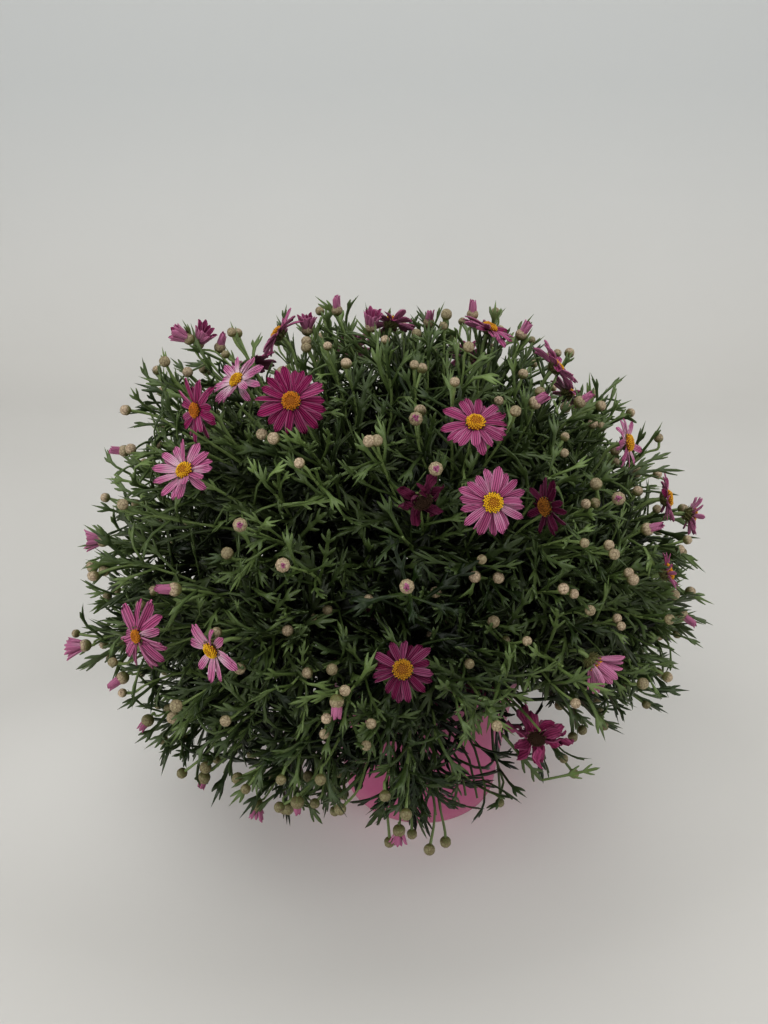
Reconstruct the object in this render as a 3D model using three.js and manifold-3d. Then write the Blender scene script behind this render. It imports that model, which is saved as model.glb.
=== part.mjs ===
// A marguerite daisy grown as a round bush in a pink plastic pot.
// Millimetres, +Z up. The origin is on the pot's axis, under its base, and -Y is the front.
import * as THREE from "three";
import { mergeVertices } from "three/addons/utils/BufferGeometryUtils.js";
import Module from "manifold-3d";

const wasm = await Module();
wasm.setup();

// Pot: an injection-moulded grower's pot with a collar
const POT_HEIGHT = 140;
const POT_RIM_RADIUS = 90;
const POT_BASE_RADIUS = 68;
const POT_WALL = 1.2;
const COLLAR_HEIGHT = 21;
const COLLAR_STEP = 3.2;
const POT_SIDES = 48;
const DRAIN_HOLES = 8;
const DRAIN_HOLE_RADIUS = 4.5;
const DRAIN_HOLE_SIDES = 8;
const DRAIN_CIRCLE_RADIUS = 50;

// Soil: the root ball, mounded round the trunk
const GAP = 0.3;
const SOIL_BELOW_COLLAR = 2;
const SOIL_MOUND = 7;
const MOUND_SHOULDER = 0.6;

// Plant: every shoot starts at one woody crown and ends on a round outline
const CROWN_CENTRE = new THREE.Vector3(0, 0, POT_HEIGHT);
const KNUCKLE_RADIUS = 10;
const TRUNK_RADIUS = 6;
const ROOT_TIP_BELOW_CROWN = 44;
const WOOD_REACH = 45;
const WOOD_SIDES = 10;
const BRANCH_ROOT = 0.4;
const OUTLINE_CENTRE = new THREE.Vector3(-30, 0, 222);
const OUTLINE_RADII = new THREE.Vector3(242, 228, 200);
const GREATEST_LIFT = THREE.MathUtils.degToRad(36);
const LOWEST_RISE = THREE.MathUtils.degToRad(-14);

// Shoots
const WOOD_RADIUS = 2.1;
const STEM_RADIUS = 1.8;
const STALK_RADIUS = 1.0;
const STEM_TIP_RADIUS = 1.2;
const STEM_SIDES = 4;
const STEM_STEPS = 5;
const LEAFY_FROM = 0.42;
const LEAFY_TO = 0.74;
const LEAF_RUN = 0.13;
const LEAF_WIDTH = 9;
const LEAF_THICKNESS = 1.3;
const LEAF_WIDEST_AT = 0.6;
const MOST_SPREAD = 40;
const LOW_SHOOT_RISE = THREE.MathUtils.degToRad(20);
const CLEAR_OF_RIM = 14;
const FLOWER_SHOOT_LEAVES = 6;
const BUD_SHOOT_LEAVES = 8;
const STALK_FROM = 0.85;
const BUD_RADIUS = 4.5;
const BUD_SHOOTS_BY_RULE = 10;
const EVEN_DIRECTIONS = 400;
const BARE_SECTOR = THREE.MathUtils.degToRad(80);
const BARE_BELOW = THREE.MathUtils.degToRad(15);
const SPREAD_SHARE = 0.42;

// Flower heads
const PETALS = 9;
const PETAL_THICKNESS = 1.2;
const NOTCH_DEPTH = 0.45;
const DISC_RADIUS = 6.5;
const DISC_HEIGHT = 4;
const CALYX_RADIUS = 4;
const CALYX_DEPTH = 5;
const CALYX_SHOULDER = 0.8;
const STALK_SEAT = 3;
const STALK_NECK_RADIUS = 1.3;
const STALK_HOOK = 16;

// Each open flower: the middle of its head, the way that it faces (degrees round from the front, degrees
// up) and how far it is across
const FLOWERS = [
  { head: [-96, -88, 398], faces: [-5, 32], across: 50 },
  { head: [-140, -36, 394], faces: [-58, 46], across: 46 },
  { head: [-164, -74, 386], faces: [-50, 10], across: 46 },
  { head: [-168, -110, 356], faces: [-30, 45], across: 46 },
  { head: [-118, 50, 403], faces: [-102, 36], across: 46 },
  { head: [27, -116, 393], faces: [5, 60], across: 46 },
  { head: [36, -158, 356], faces: [5, 25], across: 46 },
  { head: [75, -132, 340], faces: [-50, 5], across: 40 },
  { head: [-8, -144, 350], faces: [25, -20], across: 42 },
  { head: [52, 55, 406], faces: [88, 67], across: 46 },
  { head: [97, -5, 394], faces: [106, 43], across: 46 },
  { head: [145, -53, 352], faces: [65, 15], across: 40 },
  { head: [177, -60, 310], faces: [80, 10], across: 38 },
  { head: [206, -32, 282], faces: [85, -10], across: 34 },
  { head: [-200, -158, 255], faces: [-42, 12], across: 54 },
  { head: [-143, -194, 269], faces: [-34, -6], across: 44 },
  { head: [-21, -200, 258], faces: [-5, 40], across: 44 },
  { head: [77, -153, 164], faces: [-8, 0], across: 54 },
  { head: [110, -160, 235], faces: [70, -40], across: 34 },
];

// Bud-bearing shoots that shape the outline, by their tips: the first two are high, the next four hang low
// and the last three reach out to the sides
const PLACED_BUD_TIPS = [
  [-27, 65, 419],
  [166, -114, 282],
  [-22, -175, 88],
  [-127, -164, 102],
  [-214, -125, 150],
  [111, -126, 110],
  [200, -79, 216],
  [-267, -95, 203],
  [-252, -65, 277],
];

const { sin, cos, PI, sqrt, min, max } = Math;
const GOLDEN_ANGLE = PI * (3 - sqrt(5));
const degrees = THREE.MathUtils.degToRad;

const plastic = new THREE.MeshStandardMaterial({ color: 0xc4588a, roughness: 0.45, metalness: 0 });
const peat = new THREE.MeshStandardMaterial({ color: 0x2b1d14, roughness: 1, metalness: 0 });
const bark = new THREE.MeshStandardMaterial({ color: 0x6b5a40, roughness: 0.9, metalness: 0 });
const foliage = new THREE.MeshStandardMaterial({ color: 0x3b5634, roughness: 0.6, metalness: 0 });
const petal = new THREE.MeshStandardMaterial({ color: 0xb04484, roughness: 0.55, metalness: 0 });

const plant = new THREE.Group();

// A closed geometry as a solid that can be joined and cut
function solid(geometry) {
  const bare = geometry.clone();
  bare.deleteAttribute("normal");
  bare.deleteAttribute("uv");
  const merged = mergeVertices(bare, 1e-4);
  const mesh = new wasm.Mesh({
    numProp: 3,
    vertProperties: new Float32Array(merged.attributes.position.array),
    triVerts: new Uint32Array(merged.index.array),
  });
  return new wasm.Manifold(mesh);
}

// A named sub-part from a solid
function addPart(name, shape, material) {
  const { vertProperties, triVerts } = shape.getMesh();
  const geometry = new THREE.BufferGeometry();
  geometry.setAttribute("position", new THREE.BufferAttribute(new Float32Array(vertProperties), 3));
  geometry.setIndex(new THREE.BufferAttribute(new Uint32Array(triVerts), 1));
  geometry.computeVertexNormals();
  const mesh = new THREE.Mesh(geometry, material);
  mesh.name = name;
  plant.add(mesh);
}

// A solid turned about the Z axis from [radius, height] points
function turned(profile, sides) {
  const points = profile.map(([radius, height]) => new THREE.Vector2(radius, height));
  return solid(new THREE.LatheGeometry(points, sides).rotateX(PI / 2));
}

// The pot's wall: its outer radius at a height below the collar
function wallRadius(height) {
  const collarFoot = POT_HEIGHT - COLLAR_HEIGHT;
  const underCollar = POT_RIM_RADIUS - COLLAR_STEP * 2;
  return POT_BASE_RADIUS + ((underCollar - POT_BASE_RADIUS) * height) / collarFoot;
}

function makePot() {
  const collarFoot = POT_HEIGHT - COLLAR_HEIGHT;
  const shell = turned(
    [
      [0, 0],
      [POT_BASE_RADIUS, 0],
      [wallRadius(collarFoot), collarFoot],
      [wallRadius(collarFoot) + COLLAR_STEP, collarFoot],
      [POT_RIM_RADIUS, POT_HEIGHT],
      [POT_RIM_RADIUS - POT_WALL, POT_HEIGHT],
      [wallRadius(collarFoot) + COLLAR_STEP - POT_WALL, collarFoot + POT_WALL],
      [wallRadius(collarFoot) - POT_WALL, collarFoot],
      [wallRadius(POT_WALL) - POT_WALL, POT_WALL],
      [0, POT_WALL],
    ],
    POT_SIDES,
  );
  const drill = new THREE.CylinderGeometry(
    DRAIN_HOLE_RADIUS,
    DRAIN_HOLE_RADIUS,
    POT_WALL * 4,
    DRAIN_HOLE_SIDES,
  ).rotateX(PI / 2);
  let pot = shell;
  for (let i = 0; i < DRAIN_HOLES; i++) {
    const turn = (i * 2 * PI) / DRAIN_HOLES;
    const hole = drill.clone();
    hole.translate(DRAIN_CIRCLE_RADIUS * cos(turn), DRAIN_CIRCLE_RADIUS * sin(turn), 0);
    pot = pot.subtract(solid(hole));
  }
  addPart("pot", pot, plastic);
}

// The trunk and its tap root as [radius, height] points from the root's tip up to the knuckle's waist
function trunkProfile(clearance) {
  const crown = CROWN_CENTRE.z;
  return [
    [0, crown - ROOT_TIP_BELOW_CROWN - clearance],
    [TRUNK_RADIUS / 2 + clearance, crown - ROOT_TIP_BELOW_CROWN + TRUNK_RADIUS - clearance],
    [TRUNK_RADIUS + clearance, crown - KNUCKLE_RADIUS * 2],
  ];
}

function makeSoil() {
  const top = POT_HEIGHT - COLLAR_HEIGHT - SOIL_BELOW_COLLAR;
  const bottom = POT_WALL + GAP;
  const pocket = trunkProfile(GAP);
  const mouth = pocket[pocket.length - 1][0];
  const soil = turned(
    [
      [0, bottom],
      [wallRadius(bottom) - POT_WALL - GAP, bottom],
      [wallRadius(top) - POT_WALL - GAP, top],
      [POT_BASE_RADIUS * MOUND_SHOULDER, top + SOIL_MOUND * MOUND_SHOULDER],
      [mouth + TRUNK_RADIUS * 2, top + SOIL_MOUND],
      [mouth, top + SOIL_MOUND],
      [mouth, pocket[2][1]],
      pocket[1],
      pocket[0],
    ],
    POT_SIDES,
  );
  addPart("potting_soil", soil, peat);
}

// A direction from the crown: azimuth is round from the front towards +X, rise is up from level
function direction(azimuth, rise) {
  return new THREE.Vector3(sin(azimuth) * cos(rise), -cos(azimuth) * cos(rise), sin(rise));
}

// How much steeper than its tip a shoot sets off, so that the low ones arch over the rim
function lift(rise) {
  const share = (PI / 2 - rise) / (PI / 2 - LOWEST_RISE);
  return GREATEST_LIFT * share * share;
}

// A shoot from its tip
function shootTo(tip) {
  const offset = tip.clone().sub(CROWN_CENTRE);
  const reach = offset.length();
  return { tip, reach, azimuth: Math.atan2(offset.x, -offset.y), rise: Math.asin(offset.z / reach) };
}

// The point at a share of a shoot's length
function pointOn(shoot, share) {
  const rise = shoot.rise + (1 - share) * lift(shoot.rise);
  return direction(shoot.azimuth, rise).multiplyScalar(share * shoot.reach).add(CROWN_CENTRE);
}

// The outline's tip in a direction from the crown
function outlineTip(azimuth, rise) {
  const way = direction(azimuth, rise);
  const from = CROWN_CENTRE.clone().sub(OUTLINE_CENTRE).divide(OUTLINE_RADII);
  const step = way.clone().divide(OUTLINE_RADII);
  const a = step.dot(step);
  const b = from.dot(step);
  const c = from.dot(from) - 1;
  const reach = (-b + sqrt(b * b - a * c)) / a;
  return way.multiplyScalar(reach).add(CROWN_CENTRE);
}

// A closed tube along points, its radius going from one end's to the other's
function tube(points, fromRadius, toRadius, sides) {
  const curve = new THREE.CatmullRomCurve3(points);
  const steps = points.length - 1;
  const section = new THREE.Shape();
  for (let i = 0; i < sides; i++) {
    const turn = (i * 2 * PI) / sides;
    if (i === 0) section.moveTo(cos(turn), sin(turn));
    else section.lineTo(cos(turn), sin(turn));
  }
  section.closePath();
  const geometry = new THREE.ExtrudeGeometry(section, {
    steps,
    extrudePath: curve,
    curveSegments: 1,
    bevelEnabled: false,
  });
  const centres = [];
  for (let i = 0; i <= steps; i++) centres.push(curve.getPointAt(i / steps));
  const position = geometry.attributes.position;
  const vertex = new THREE.Vector3();
  for (let i = 0; i < position.count; i++) {
    vertex.fromBufferAttribute(position, i);
    let nearest = 0;
    for (let k = 1; k <= steps; k++) {
      if (centres[k].distanceTo(vertex) < centres[nearest].distanceTo(vertex)) nearest = k;
    }
    const radius = THREE.MathUtils.lerp(fromRadius, toRadius, nearest / steps);
    vertex.sub(centres[nearest]).setLength(radius).add(centres[nearest]);
    position.setXYZ(i, vertex.x, vertex.y, vertex.z);
  }
  return solid(geometry);
}

// A stretch of a shoot as a tube
function stretch(shoot, from, to, fromRadius, toRadius, steps) {
  const points = [];
  for (let i = 0; i <= steps; i++) points.push(pointOn(shoot, from + ((to - from) * i) / steps));
  return tube(points, fromRadius, toRadius, STEM_SIDES);
}

// A leaf blade: a thin kite, widest past its middle
function leaf(base, tip, faceHint) {
  const run = tip.clone().sub(base);
  const middle = base.clone().addScaledVector(run, LEAF_WIDEST_AT);
  const side = run.clone().cross(faceHint).normalize().multiplyScalar(LEAF_WIDTH / 2);
  const face = side.clone().cross(run).normalize().multiplyScalar(LEAF_THICKNESS / 2);
  const corners = [
    base,
    tip,
    middle.clone().add(side),
    middle.clone().sub(side),
    middle.clone().add(face),
    middle.clone().sub(face),
  ];
  const positions = corners.flatMap((corner) => corner.toArray());
  const geometry = new THREE.BufferGeometry();
  geometry.setAttribute("position", new THREE.Float32BufferAttribute(positions, 3));
  geometry.setIndex([0, 2, 4, 0, 4, 3, 0, 3, 5, 0, 5, 2, 1, 4, 2, 1, 3, 4, 1, 5, 3, 1, 2, 5]);
  const blade = solid(geometry);
  if (blade.volume() > 0) return blade;
  geometry.setIndex([0, 4, 2, 0, 3, 4, 0, 5, 3, 0, 2, 5, 1, 2, 4, 1, 4, 3, 1, 3, 5, 1, 5, 2]);
  return solid(geometry);
}

// Leaves all round a shoot, each turned on from the last by the golden angle
function addLeaves(stem, shoot, count) {
  const beyondRim = (POT_RIM_RADIUS + CLEAR_OF_RIM) / (shoot.reach * cos(shoot.rise));
  const from = shoot.rise < LOW_SHOOT_RISE ? max(LEAFY_FROM, beyondRim) : LEAFY_FROM;
  let leafy = stem;
  for (let i = 0; i < count; i++) {
    const share = from + ((LEAFY_TO - from) * i) / (count - 1);
    const base = pointOn(shoot, share);
    const ahead = pointOn(shoot, share + LEAF_RUN);
    const along = ahead.clone().sub(base).normalize();
    const across = along.clone().cross(new THREE.Vector3(0.1, 0, 1)).normalize();
    const over = across.clone().cross(along);
    const turn = i * GOLDEN_ANGLE + shoot.azimuth;
    const outward = across.multiplyScalar(cos(turn)).addScaledVector(over, sin(turn));
    const tip = ahead.addScaledVector(outward, shoot.spread * (share + LEAF_RUN));
    leafy = leafy.add(leaf(base, tip, outward));
  }
  return leafy;
}

// The crown: trunk, tap root, knuckle and one woody branch to each shoot
function makeCrown(shoots) {
  const crown = CROWN_CENTRE.z;
  let wood = turned(
    [
      ...trunkProfile(0),
      [TRUNK_RADIUS, crown - KNUCKLE_RADIUS],
      [KNUCKLE_RADIUS, crown],
      [KNUCKLE_RADIUS * Math.SQRT1_2, crown + KNUCKLE_RADIUS * Math.SQRT1_2],
      [0, crown + KNUCKLE_RADIUS],
    ],
    WOOD_SIDES,
  );
  for (const shoot of shoots) {
    const from = (KNUCKLE_RADIUS * BRANCH_ROOT) / shoot.reach;
    const to = (WOOD_REACH - GAP * 2) / shoot.reach;
    wood = wood.add(stretch(shoot, from, to, WOOD_RADIUS, WOOD_RADIUS, 1));
  }
  addPart("woody_crown", wood, bark);
}

function makeFlowerShoot(name, shoot) {
  const from = WOOD_REACH / shoot.reach;
  const to = STALK_FROM - GAP / shoot.reach;
  const stem = stretch(shoot, from, to, STEM_RADIUS, STEM_TIP_RADIUS, STEM_STEPS);
  addPart(name, addLeaves(stem, shoot, FLOWER_SHOOT_LEAVES), foliage);
}

function makeBudShoot(name, shoot) {
  const from = WOOD_REACH / shoot.reach;
  const stem = stretch(shoot, from, 1, STEM_RADIUS, STALK_RADIUS, STEM_STEPS + 1);
  const bud = new THREE.IcosahedronGeometry(BUD_RADIUS, 0).translate(...shoot.tip.toArray());
  addPart(name, addLeaves(stem, shoot, BUD_SHOOT_LEAVES).add(solid(bud)), foliage);
}

// A flower on its stalk. The head is a turned shape whose rim is pulled in at every second radius, between
// the petals
function makeFlower(name, shoot, flower) {
  const radius = flower.across / 2;
  const profile = [
    [0, -CALYX_DEPTH],
    [CALYX_RADIUS, -CALYX_DEPTH * CALYX_SHOULDER],
    [radius, -PETAL_THICKNESS / 2],
    [radius, PETAL_THICKNESS / 2],
    [DISC_RADIUS, PETAL_THICKNESS],
    [0, DISC_HEIGHT],
  ].map(([r, z]) => new THREE.Vector2(r, z));
  const geometry = new THREE.LatheGeometry(profile, PETALS * 2).rotateX(PI / 2);
  const position = geometry.attributes.position;
  for (let i = 0; i < position.count; i++) {
    const between = Math.floor(i / profile.length) % 2 === 1;
    const rim = profile[i % profile.length].x === radius;
    if (between && rim) {
      position.setX(i, position.getX(i) * NOTCH_DEPTH);
      position.setY(i, position.getY(i) * NOTCH_DEPTH);
    }
  }
  const faces = direction(degrees(flower.faces[0]), degrees(flower.faces[1]));
  geometry.applyQuaternion(new THREE.Quaternion().setFromUnitVectors(new THREE.Vector3(0, 0, 1), faces));
  geometry.translate(...flower.head);

  const start = pointOn(shoot, STALK_FROM);
  const setsOff = pointOn(shoot, STALK_FROM + 0.05).sub(start).setLength(STALK_HOOK);
  const end = shoot.tip.clone().addScaledVector(faces, -STALK_SEAT);
  const bend = new THREE.CubicBezierCurve3(
    start,
    start.clone().add(setsOff),
    end.clone().addScaledVector(faces, -STALK_HOOK),
    end,
  );
  const stalk = tube(bend.getPoints(4), STALK_RADIUS, STALK_NECK_RADIUS, STEM_SIDES);
  addPart(name, solid(geometry).add(stalk), petal);
}

// Tips for the rest of the outline: of many even directions, the one farthest from all tips so far
function fillTips(tips, count) {
  const candidates = [];
  for (let i = 0; i < EVEN_DIRECTIONS; i++) {
    const rise = Math.asin(1 - (2 * (i + 0.5)) / EVEN_DIRECTIONS);
    const azimuth = Math.atan2(sin(i * GOLDEN_ANGLE), cos(i * GOLDEN_ANGLE));
    const inBareSector = azimuth > 0 && azimuth < BARE_SECTOR && rise < BARE_BELOW;
    if (rise > LOWEST_RISE && !inBareSector) candidates.push(outlineTip(azimuth, rise));
  }
  for (let i = 0; i < count; i++) {
    const room = candidates.map((c) => min(...tips.map((t) => t.distanceTo(c))));
    tips.push(candidates[room.indexOf(max(...room))]);
  }
  return tips;
}

const flowerTips = FLOWERS.map((flower) => new THREE.Vector3(...flower.head));
const placedTips = PLACED_BUD_TIPS.map((tip) => new THREE.Vector3(...tip));
const allTips = fillTips([...flowerTips, ...placedTips], BUD_SHOOTS_BY_RULE);
const shoots = allTips.map(shootTo);
for (const shoot of shoots) {
  const others = shoots.filter((other) => other !== shoot);
  const room = min(...others.map((other) => other.tip.distanceTo(shoot.tip)));
  shoot.spread = min(MOST_SPREAD, room * SPREAD_SHARE);
}

makePot();
makeSoil();
makeCrown(shoots);
const number = (i) => String(i + 1).padStart(2, "0");
shoots.forEach((shoot, i) => {
  if (i < FLOWERS.length) {
    makeFlowerShoot(`flower_shoot_${number(i)}`, shoot);
    makeFlower(`flower_${number(i)}`, shoot, FLOWERS[i]);
  } else {
    makeBudShoot(`bud_shoot_${number(i - FLOWERS.length)}`, shoot);
  }
});

export default plant;
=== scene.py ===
# %% [markdown]
# A marguerite daisy in its pot
#
# The real thing is a round bush that grew from one short woody trunk in a pink plastic pot. Its green
# shoots all leave the trunk at one knuckle, fork once or twice and end on a round outline, each with a
# tuft of fingered leaves and one to three stalks that hold a bud or a daisy.
# Small pieces such as a leaf or a petal are modelled first, then come pot, soil, shoots, wood and flowers.

# %% Load the frame
import math
from functools import partial

import bmesh
import bpy
import numpy as np
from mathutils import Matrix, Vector


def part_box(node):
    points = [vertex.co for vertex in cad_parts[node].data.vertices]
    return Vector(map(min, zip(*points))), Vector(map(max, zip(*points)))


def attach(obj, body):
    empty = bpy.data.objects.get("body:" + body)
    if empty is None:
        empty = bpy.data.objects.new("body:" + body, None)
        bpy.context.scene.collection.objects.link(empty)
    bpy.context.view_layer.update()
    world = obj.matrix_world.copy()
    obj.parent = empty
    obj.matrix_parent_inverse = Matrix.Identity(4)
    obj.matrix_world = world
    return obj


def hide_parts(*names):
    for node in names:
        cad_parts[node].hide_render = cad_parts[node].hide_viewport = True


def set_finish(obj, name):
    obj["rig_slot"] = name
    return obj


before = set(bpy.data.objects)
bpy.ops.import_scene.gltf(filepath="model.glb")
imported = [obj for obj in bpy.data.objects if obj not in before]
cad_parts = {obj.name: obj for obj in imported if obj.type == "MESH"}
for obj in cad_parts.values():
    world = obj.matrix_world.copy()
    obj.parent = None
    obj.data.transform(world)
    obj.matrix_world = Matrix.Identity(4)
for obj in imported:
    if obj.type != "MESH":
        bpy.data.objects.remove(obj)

# The plant is worked out in mm, and every finished piece is in metres
MM = 0.001
# Each leaf of a shoot, and each floret of an eye, stands this far round from the one before it
GOLDEN_ANGLE = math.pi * (3 - math.sqrt(5))
# One seeded source of chance, so that every run grows the same plant
chance = np.random.default_rng(11)
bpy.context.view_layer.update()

# %% [markdown]
# Colours and nodes
#
# A shader works with linear light, so a colour that was read from a picture has to be turned first.
# A node tree is easier to read when each node is one line, so one helper adds a node and sets what it is
# told. An input that is given as another node's socket is linked, here and on the shader itself.


# %% Colour and node helpers
def linear(hex_colour):
    """An sRGB hex colour as the linear colour that a shader takes: a straight foot, then a power curve."""
    parts = [int(hex_colour[i : i + 2], 16) / 255 for i in (1, 3, 5)]
    return [c / 12.92 if c <= 0.04045 else ((c + 0.055) / 1.055) ** 2.4 for c in parts] + [1]


def set_inputs(node, inputs):
    """Gives each named input its value or its hex colour, or links it to the socket that is given."""
    for name, value in inputs.items():
        if isinstance(value, bpy.types.NodeSocket):
            node.id_data.links.new(value, node.inputs[name])
        else:
            node.inputs[name].default_value = linear(value) if isinstance(value, str) else value


def add_node(tree, kind, inputs=None, **settings):
    """A shader node with its settings and its inputs."""
    node = tree.nodes.new("ShaderNode" + kind)
    for name, value in settings.items():
        setattr(node, name, value)
    set_inputs(node, inputs or {})
    return node


def new_material(name):
    """A new material, what adds a node to it, its shader, and the place on the piece that patterns read."""
    material = bpy.data.materials.new(name)
    material.use_nodes = True
    add = partial(add_node, material.node_tree)
    return material, add, material.node_tree.nodes["Principled BSDF"], add("TexCoord").outputs["Object"]


# A Mix node's colour sockets have the same names as its other sockets, so they are counted
SHARE, FIRST, SECOND, MIXED = 0, 6, 7, 2

# %% [markdown]
# Modelling helpers
#
# A template is a small closed piece, such as one leaf, modelled once in edit mode. It is modelled at one
# Blender unit to a millimetre, so that its sizes read as they would on a ruler.
# Edit mode works on what is selected, so one helper selects by place or normal, and one pulls the
# selection out and narrows its new end, which is most of what a leaf or a pot needs.


# %% Selecting and growing
def start_empty():
    """Nothing selected, so that the next operator acts only on what it adds."""
    bpy.ops.object.select_all(action="DESELECT")


def select_only(piece):
    """One piece selected, and the active one."""
    start_empty()
    piece.select_set(True)
    bpy.context.view_layer.objects.active = piece


def settle(location=(0, 0, 0), scale=(1, 1, 1)):
    """Places and sizes the piece that was just added, and writes both into its mesh."""
    bpy.context.object.location = location
    bpy.context.object.scale = scale
    bpy.ops.object.transform_apply(location=True, scale=True)


def editing(on):
    bpy.ops.object.mode_set(mode="EDIT" if on else "OBJECT")


def middle(part):
    """The middle of a vertex, an edge or a face."""
    points = [part.co] if isinstance(part, bmesh.types.BMVert) else [vert.co for vert in part.verts]
    return sum(points, Vector()) / len(points)


def pick(kind, test):
    """In edit mode, leaves only those vertices, edges or faces selected that pass the test."""
    bpy.ops.mesh.select_mode(type=kind)
    bpy.ops.mesh.select_all(action="DESELECT")
    mesh = bmesh.from_edit_mesh(bpy.context.object.data)
    parts = {"VERT": mesh.verts, "EDGE": mesh.edges, "FACE": mesh.faces}[kind]
    for part in [part for part in parts if test(part)]:
        part.select_set(True)
    mesh.select_flush_mode()
    bmesh.update_edit_mesh(bpy.context.object.data)


def scale_selected(scale):
    """Scales the selection about its own middle."""
    mesh = bmesh.from_edit_mesh(bpy.context.object.data)
    chosen = [vert.co for vert in mesh.verts if vert.select]
    bpy.ops.transform.resize(value=scale, center_override=sum(chosen, Vector()) / len(chosen))


def grow(move, scale=(1, 1, 1)):
    """Extrudes the selection by a move and scales the new end about its middle."""
    bpy.ops.mesh.extrude_region_move(TRANSFORM_OT_translate={"value": move})
    scale_selected(scale)


def finish_modifier(piece, kind, **settings):
    """Adds a modifier with its settings and applies it."""
    modifier = piece.modifiers.new(kind.title(), kind)
    for name, value in settings.items():
        setattr(modifier, name, value)
    select_only(piece)
    bpy.ops.object.modifier_apply(modifier=modifier.name)


# %% [markdown]
# From templates to the plant
#
# The bush has thousands of leaves. Each is a copy of a template with a size, a bend and a place of its own,
# and the copies on one shoot are joined in one mesh, because they grow from it as one piece.
# A copy is only a new set of points on the template's faces, so the copies are counted out in arrays.
# Each point also takes a few numbers along, such as how pale its leaf is, for the materials to read.


# %% Templates and piles of copies
class Template:
    """A finished template's points and faces, and any numbers that its points carry."""

    def __init__(self, piece, **numbers):
        mesh = piece.data
        self.points = np.empty(len(mesh.vertices) * 3)
        mesh.vertices.foreach_get("co", self.points)
        self.points = self.points.reshape(-1, 3)
        self.corners = np.empty(len(mesh.loops), int)
        mesh.loops.foreach_get("vertex_index", self.corners)
        self.counts = np.empty(len(mesh.polygons), int)
        mesh.polygons.foreach_get("loop_total", self.counts)
        self.numbers = {name: rule(*self.points.T) for name, rule in numbers.items()}
        self.triangles = int((self.counts - 2).sum())
        bpy.data.objects.remove(piece)
        bpy.data.meshes.remove(mesh)


class Pile:
    """Copies of templates that become one mesh."""

    def __init__(self):
        self.points, self.corners, self.counts, self.numbers = [], [], [], {}
        self.size = 0

    def add(self, template, points, **numbers):
        """Adds one copy for each set of points, in mm. A number is one value for each copy."""
        copies, length = points.shape[:2]
        shifts = self.size + np.arange(copies) * length
        self.points.append(points.reshape(-1, 3))
        self.corners.append((template.corners[None] + shifts[:, None]).ravel())
        self.counts.append(np.tile(template.counts, copies))
        carried = {name: np.tile(values, copies) for name, values in template.numbers.items()}
        given = {name: np.repeat(np.asarray(values, float), length) for name, values in numbers.items()}
        for name, values in {**carried, **given}.items():
            self.numbers.setdefault(name, []).append((self.size, values))
        self.size += copies * length

    def make(self, name, material):
        """The joined mesh as an object, in metres."""
        corners = np.concatenate(self.corners)
        counts = np.concatenate(self.counts)
        mesh = bpy.data.meshes.new(name)
        mesh.vertices.add(self.size)
        mesh.loops.add(len(corners))
        mesh.polygons.add(len(counts))
        mesh.vertices.foreach_set("co", (np.concatenate(self.points) * MM).ravel())
        mesh.loops.foreach_set("vertex_index", corners)
        mesh.polygons.foreach_set("loop_start", np.concatenate([[0], np.cumsum(counts)[:-1]]))
        mesh.polygons.foreach_set("use_smooth", np.ones(len(counts), bool))
        for label, parts in self.numbers.items():
            values = np.zeros(self.size)
            for at, part in parts:
                values[at : at + len(part)] = part
            mesh.attributes.new(label, "FLOAT", "POINT").data.foreach_set("value", values)
        mesh.update(calc_edges=True)
        mesh.validate()
        mesh.materials.append(material)
        piece = bpy.data.objects.new(name, mesh)
        bpy.context.collection.objects.link(piece)
        return piece


def unit(vectors):
    return vectors / np.linalg.norm(vectors, axis=-1, keepdims=True)


def around(right, over, turn):
    """Directions in the plane of two square ones, this far round from the first."""
    return right * np.cos(turn)[:, None] + over * np.sin(turn)[:, None]


def lifted_by(outward, facing, lift):
    """Ahead and up for petals that stand this far up from flat."""
    ahead = outward * np.cos(lift) + facing * np.sin(lift)
    return ahead, facing * np.cos(lift) - outward * np.sin(lift)


def rolled(ahead, up, roll):
    """Up, once the piece is rolled about its own length."""
    return up * np.cos(roll) + np.cross(ahead, up) * np.sin(roll)


def placed(template, size, place, ahead, up):
    """The template's points for each copy: scaled, its Y turned to ahead, its Z to up, then moved."""
    side = np.cross(ahead, up)
    local = template.points[None] * np.reshape(size, (-1, 1, 1))
    x, y, z = (local[..., i, None] for i in range(3))
    return place[:, None] + side[:, None] * x + ahead[:, None] * y + up[:, None] * z


# %% [markdown]
# How a shoot grows
#
# Every shoot sets off from the knuckle more steeply than it ends, so the low ones arch over the rim. The
# steeper start depends only on how low the shoot ends, and so no two main shoots ever cross.
# The frame's shoots follow this rule, and the finer side shoots here use it too: a side shoot runs along
# with its main shoot at first and then bends away to a tip of its own.

# %% Growth rules
CROWN = np.array([0, 0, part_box("pot")[1][2] / MM])
# How far from the crown a shoot is wood, and the rounded box that the bush's outline fills, in mm
WOOD_REACH = 45
OUTLINE_CENTRE = np.array([-30, 0, 222])
OUTLINE_RADII = np.array([242, 228, 200])
# The lowest shoots set off this much more steeply than they end
GREATEST_LIFT = math.radians(36)
LOWEST_RISE = math.radians(-14)


def direction(azimuth, rise):
    """From the crown: azimuth is round from the front towards +X, rise is up from level."""
    flat = np.cos(rise)
    return np.stack([np.sin(azimuth) * flat, -np.cos(azimuth) * flat, np.sin(rise)], axis=-1)


def aim(tip):
    """A tip's azimuth, rise and reach from the crown."""
    offset = np.asarray(tip, float) - CROWN
    reach = np.linalg.norm(offset, axis=-1)
    return np.arctan2(offset[..., 0], -offset[..., 1]), np.arcsin(offset[..., 2] / reach), reach


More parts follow.
